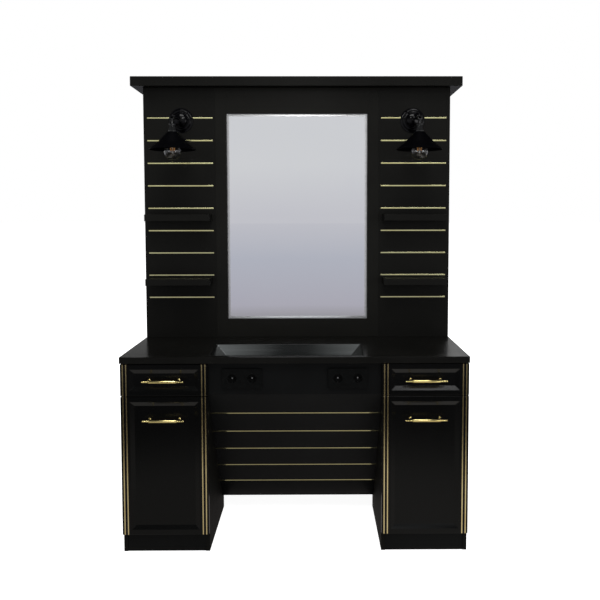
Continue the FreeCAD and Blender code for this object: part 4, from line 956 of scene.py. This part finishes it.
class STATION_OT_bulbs(bpy.types.Operator):
    """Clear globes with their caps, mounts and filaments"""
    bl_idname = "station.bulbs"
    bl_label = "Bulbs"

    def execute(self, context):
        settings = context.scene.station_lamps
        for corner in CORNERS:
            node = "lamp_bulb_" + corner
            spot = Matrix.Translation(joint_place("lamp_shade_%s_tilt" % corner))
            body = body_of(node)
            self.glass(node, spot, settings.steps)
            self.cap(node, spot, body)
            self.filament(node, spot, body, settings.loops)
        return {"FINISHED"}

    def glass(self, node, spot, steps):
        outer = self.globe(GLOBE_RADIUS, NECK, THROAT)
        inner = self.globe(*(size - GLASS_WALL for size in (GLOBE_RADIUS, NECK, THROAT)))
        bm = bmesh.new()
        lathe(bm, outer + list(reversed(inner)) + outer[:1], steps, spot)
        stand_in(bm, node, "_glass", "glass")

    def globe(self, radius, neck, throat):
        """Profile of the glass from its throat down to the bottom."""
        line = [(throat - 0.0030, -0.0930), (throat - 0.0008, -0.0950), (throat, -0.0980),
                (throat + 0.0002, -0.1040), (throat + 0.0005, -0.1120),
                (neck - 0.0002, -0.1210), (neck + 0.0004, -0.1250)]
        start = math.asin((neck + 0.0022)/radius)
        for i in range(GLOBE_STEPS + 1):
            angle = start + (math.pi - start)*i/GLOBE_STEPS
            line.append((radius*math.sin(angle), GLOBE_CENTRE + radius*math.cos(angle)))
        return line

    def cap(self, node, spot, body):
        """Threaded screw cap, its end contact, and the glass mount of the filament, painted white as a highlight.
        """
        thread = [(radius, THREAD_TOP - i*THREAD_PITCH + drop)
                  for i in range(THREADS) for radius, drop in CAP_THREAD]
        bm = bmesh.new()
        lathe(bm, metres((*CAP_TOP, *thread, *CAP_FOOT)), 40, spot)
        piece_from(bm, node + "_cap", ("pull",), body)
        stem = bmesh.new()
        lathe(stem, metres(MOUNT), 24, spot)
        piece_from(stem, node + "_mount", ("bead",), body)

    def filament(self, node, spot, body, loops):
        """Long loops of wire turning round the bulb's axis."""
        curve = bpy.data.curves.new(node + "_filament", "CURVE")
        curve.dimensions = "3D"
        curve.bevel_depth = FILAMENT_WIRE
        curve.bevel_resolution = 2
        points = []
        for i in range(loops):
            for share, height, reach in FILAMENT_LOOP:
                turn = (i + share)*math.tau/loops
                points.append((reach/1000*math.cos(turn), reach/1000*math.sin(turn),
                               height/1000))
        spline = curve.splines.new("NURBS")
        spline.points.add(len(points) - 1)
        for control, point in zip(spline.points, points):
            control.co = (*point, 1.0)
        spline.order_u = 3
        spline.use_endpoint_u = True
        holder = bpy.data.objects.new(node + "_wire", curve)
        mesh = bpy.data.meshes.new_from_object(holder)
        bpy.data.objects.remove(holder)
        bm = bmesh.new()
        bm.from_mesh(mesh)
        bmesh.ops.transform(bm, matrix=spot, verts=bm.verts)
        piece_from(bm, node + "_filament", ("filament",), body)


# Gloss sees the floor in these tones, a painted reflection: darker in the middle under the station, light round
# it, then a dark ring, and darker on the left, which is painted shade. Each row is where a tone begins and is
# full, and the tone: first in metres from the middle, then as eight metres over that distance.
FLOOR_MIDDLE = (0.40, 0.37, 0.35)
FLOOR_NEAR = ((0.65, 0.90, (0.68, 0.65, 0.60)), (1.7, 2.35, (0.055, 0.050, 0.044)))
FLOOR_FAR = ((3.9, 5.6, (0.28, 0.275, 0.27)), (5.8, 8.0, (0.440, 0.430, 0.478)))
FAR_AWAY = 8.0
FLOOR_HORIZON = ((1.0, 0.4, (0.475, 0.490, 0.540)), (0.4, 0.0, (0.590, 0.588, 0.612)))
LEFT_SHADE = (0.45, -0.45, 0.0, 0.25)
# The same for the walls, by the height of the direction in which gloss looks.
WALL_FOOT = (0.600, 0.600, 0.622)
WALL_LOW = ((0.0, 0.07, (0.672, 0.680, 0.682)),)
WALL_MIDDLE, WALL_ASIDE = (0.02, 0.021, 0.021), (0.34, 0.35, 0.35)
WALL_BEHIND = ((-0.2, 0.2, (0.075, 0.073, 0.068)),)
WALL_HIGH = (0.143, 0.165)
CEILING = ((0.26, 0.45, (0.060, 0.060, 0.056)),)
WINDOW = (1.15, 1.15, 1.15)
ROOM_LIGHT = (0.52, 0.52, 0.52)
WHITE = (1.0, 1.0, 1.0)
# Place, width, height, height of the point aimed at, watts.
STUDIO_LIGHTS = {
    "key": ((1.6, -4.4, 4.6), 1.0, 1.0, 0.9, 14.0),
    "fill": ((3.4, -3.6, 1.5), 1.6, 1.6, 0.9, 24.0),
    "top": ((0.0, -4.0, 8.5), 4.5, 4.5, 0.9, 370.0),
    "glint": ((0.0, -2.0, 2.82), 0.14, 0.76, 2.82, 5.0),
    "back": ((1.4, 4.2, 3.4), 2.0, 2.0, 0.9, 50.0),
}


class STATION_OT_stage(bpy.types.Operator):
    """Floor, light, world and camera"""
    bl_idname = "station.stage"
    bl_label = "Stage"

    def execute(self, context):
        scene = context.scene
        settings = scene.station_stage
        self.floor(scene, settings.floor_size)
        self.world(scene)
        self.lights(scene)
        self.camera(scene, settings)
        scene.view_settings.view_transform = "Standard"
        return {"FINISHED"}

    def floor(self, scene, size):
        bm = bmesh.new()
        bmesh.ops.create_grid(bm, x_segments=1, y_segments=1, size=size/2)
        mesh = bpy.data.meshes.new("floor")
        bm.to_mesh(mesh)
        bm.free()
        floor = bpy.data.objects.new("floor", mesh)
        scene.collection.objects.link(floor)
        mesh.materials.append(self.floor_paint())

    def floor_paint(self):
        """White to the eye with a faint soft shadow, and painted with tones and shade where gloss sees it."""
        material = bpy.data.materials.new("Pale floor")
        tree, nodes, links = nodes_of(material)
        output = nodes.new("ShaderNodeOutputMaterial")
        lit = nodes.new("ShaderNodeBsdfDiffuse")
        lit.inputs["Color"].default_value = (0.86, 0.86, 0.86, 1.0)
        seen = nodes.new("ShaderNodeEmission")
        seen.inputs["Color"].default_value = rgba(WHITE)
        seen.inputs["Strength"].default_value = 0.92
        bright = nodes.new("ShaderNodeAddShader")
        links.new(lit.outputs[0], bright.inputs[0])
        links.new(seen.outputs[0], bright.inputs[1])
        painted_reflection = nodes.new("ShaderNodeEmission")
        links.new(self.floor_tone(tree), painted_reflection.inputs["Color"])
        rays = nodes.new("ShaderNodeLightPath")
        plain = self.either(tree, rays.outputs["Is Camera Ray"], lit, bright)
        glossy = self.either(tree, rays.outputs["Is Glossy Ray"], plain, painted_reflection)
        links.new(glossy.outputs[0], output.inputs["Surface"])
        return material

    def either(self, tree, factor, first, second):
        """One shader or the other."""
        node = tree.nodes.new("ShaderNodeMixShader")
        for source, socket in zip((factor, first.outputs[0], second.outputs[0]),
                                  node.inputs):
            tree.links.new(source, socket)
        return node

    def floor_tone(self, tree):
        """Painted reflection: tone by the distance from the middle, with painted shade on the left."""
        where = tree.nodes.new("ShaderNodeTexCoord").outputs["Object"]
        away = tree.nodes.new("ShaderNodeVectorMath")
        away.operation = "LENGTH"
        tree.links.new(where, away.inputs[0])
        distance = away.outputs["Value"]
        axes = tree.nodes.new("ShaderNodeSeparateXYZ")
        tree.links.new(where, axes.inputs[0])
        tone = self.toned(tree, distance, rgba(FLOOR_MIDDLE), FLOOR_NEAR)
        tone = blend_colours(tree, spread(tree, axes.outputs["X"], *LEFT_SHADE), tone,
                             (0.0, 0.0, 0.0, 1.0))
        tone = self.toned(tree, distance, tone, FLOOR_FAR)
        return self.toned(tree, math_node(tree, "DIVIDE", FAR_AWAY, distance), tone,
                          FLOOR_HORIZON)

    def toned(self, tree, value, tone, rows):
        """Pass from tone to tone as value grows or falls."""
        for begins, full, colour in rows:
            tone = blend_colours(tree, spread(tree, value, begins, full), tone,
                                 rgba(colour))
        return tone

    def world(self, scene):
        """White to the eye and through glass; a soft grey room in gloss."""
        scene.world = bpy.data.worlds.new("Studio")
        tree, nodes, links = nodes_of(scene.world)
        output = nodes.new("ShaderNodeOutputWorld")
        axes = nodes.new("ShaderNodeSeparateXYZ")
        links.new(nodes.new("ShaderNodeTexCoord").outputs["Generated"], axes.inputs[0])
        side, depth, height = (axes.outputs[axis] for axis in "XYZ")
        aside = math_node(tree, "ABSOLUTE", math_node(tree, "ADD", side, 0.03))
        upper = blend_colours(tree, spread(tree, aside, 0.02, 0.13), rgba(WALL_MIDDLE),
                              rgba(WALL_ASIDE))
        upper = self.toned(tree, depth, upper, WALL_BEHIND)
        room = self.toned(tree, height, rgba(WALL_FOOT), WALL_LOW)
        room = blend_colours(tree, spread(tree, height, *WALL_HIGH), room, upper)
        room = self.toned(tree, height, room, CEILING)
        room = blend_colours(tree, self.window(tree, side, depth, height), room,
                             rgba(WINDOW))
        rays = nodes.new("ShaderNodeLightPath")
        seen = math_node(tree, "MAXIMUM", rays.outputs["Is Camera Ray"],
                         rays.outputs["Is Transmission Ray"])
        colour = blend_colours(tree, rays.outputs["Is Glossy Ray"], rgba(ROOM_LIGHT), room)
        colour = blend_colours(tree, seen, colour, rgba(WHITE))
        background = nodes.new("ShaderNodeBackground")
        links.new(colour, background.inputs["Color"])
        links.new(background.outputs[0], output.inputs["Surface"])

    def window(self, tree, side, depth, height):
        """Mask of the two high windows, front right and rear left."""
        turned = math_node(tree, "MULTIPLY", side, depth)
        mask = spread(tree, height, 0.38, 0.45)
        for value, low, high in ((height, 0.74, 0.64), (turned, -0.01, -0.06),
                                 (turned, -0.185, -0.16)):
            mask = math_node(tree, "MULTIPLY", mask, spread(tree, value, low, high))
        return mask

    def lights(self, scene):
        """Soft studio panels; the narrow one gives the lamps their glints."""
        for name, (place, width, height, aim_z, power) in STUDIO_LIGHTS.items():
            light = bpy.data.lights.new(name, "AREA")
            light.shape = "RECTANGLE"
            light.size, light.size_y = width, height
            light.energy = power
            lamp = bpy.data.objects.new(name, light)
            scene.collection.objects.link(lamp)
            aim = Vector((0.0, 0.0, aim_z)) - Vector(place)
            lamp.rotation_euler = aim.to_track_quat("-Z", "Y").to_euler()
            lamp.location = place

    def camera(self, scene, settings):
        lens = bpy.data.cameras.new("camera")
        lens.lens = settings.lens
        lens.sensor_width = 36.0
        lens.shift_x, lens.shift_y = settings.shift
        eye = bpy.data.objects.new("camera", lens)
        scene.collection.objects.link(eye)
        eye.matrix_world = (Matrix.Translation(settings.eye)
                            @ Matrix.Rotation(-settings.turn, 4, "Z")
                            @ Matrix.Rotation(QUARTER - settings.pitch, 4, "X")
                            @ Matrix.Rotation(settings.roll, 4, "Z"))
        scene.camera = eye


STEPS = (STATION_OT_tower, STATION_OT_shelves, STATION_OT_worktop, STATION_OT_pedestals,
         STATION_OT_fronts, STATION_OT_brass, STATION_OT_inlays, STATION_OT_knee_space,
         STATION_OT_sockets, STATION_OT_lamps, STATION_OT_bulbs, STATION_OT_stage)


class STATION_PT_panel(bpy.types.Panel):
    """Salon station"""
    bl_idname = "STATION_PT_panel"
    bl_label = "Salon Station"
    bl_space_type = "VIEW_3D"
    bl_region_type = "UI"
    bl_category = "Salon Station"

    def draw(self, context):
        for name, group in SETTINGS.items():
            box = self.layout.box()
            box.label(text=group.__doc__)
            settings = getattr(context.scene, name)
            for prop in group.__annotations__:
                box.prop(settings, prop)
        for step in STEPS:
            self.layout.operator(step.bl_idname)


def register():
    for name, group in SETTINGS.items():
        bpy.utils.register_class(group)
        setattr(bpy.types.Scene, name, bpy.props.PointerProperty(type=group))
    for step in STEPS:
        bpy.utils.register_class(step)
    bpy.utils.register_class(STATION_PT_panel)


def unregister():
    bpy.utils.unregister_class(STATION_PT_panel)
    for step in reversed(STEPS):
        bpy.utils.unregister_class(step)
    for name, group in SETTINGS.items():
        delattr(bpy.types.Scene, name)
        bpy.utils.unregister_class(group)


def main():
    register()
    for step in STEPS:
        area, call = step.bl_idname.split(".")
        getattr(getattr(bpy.ops, area), call)()


if __name__ == "__main__":
    main()
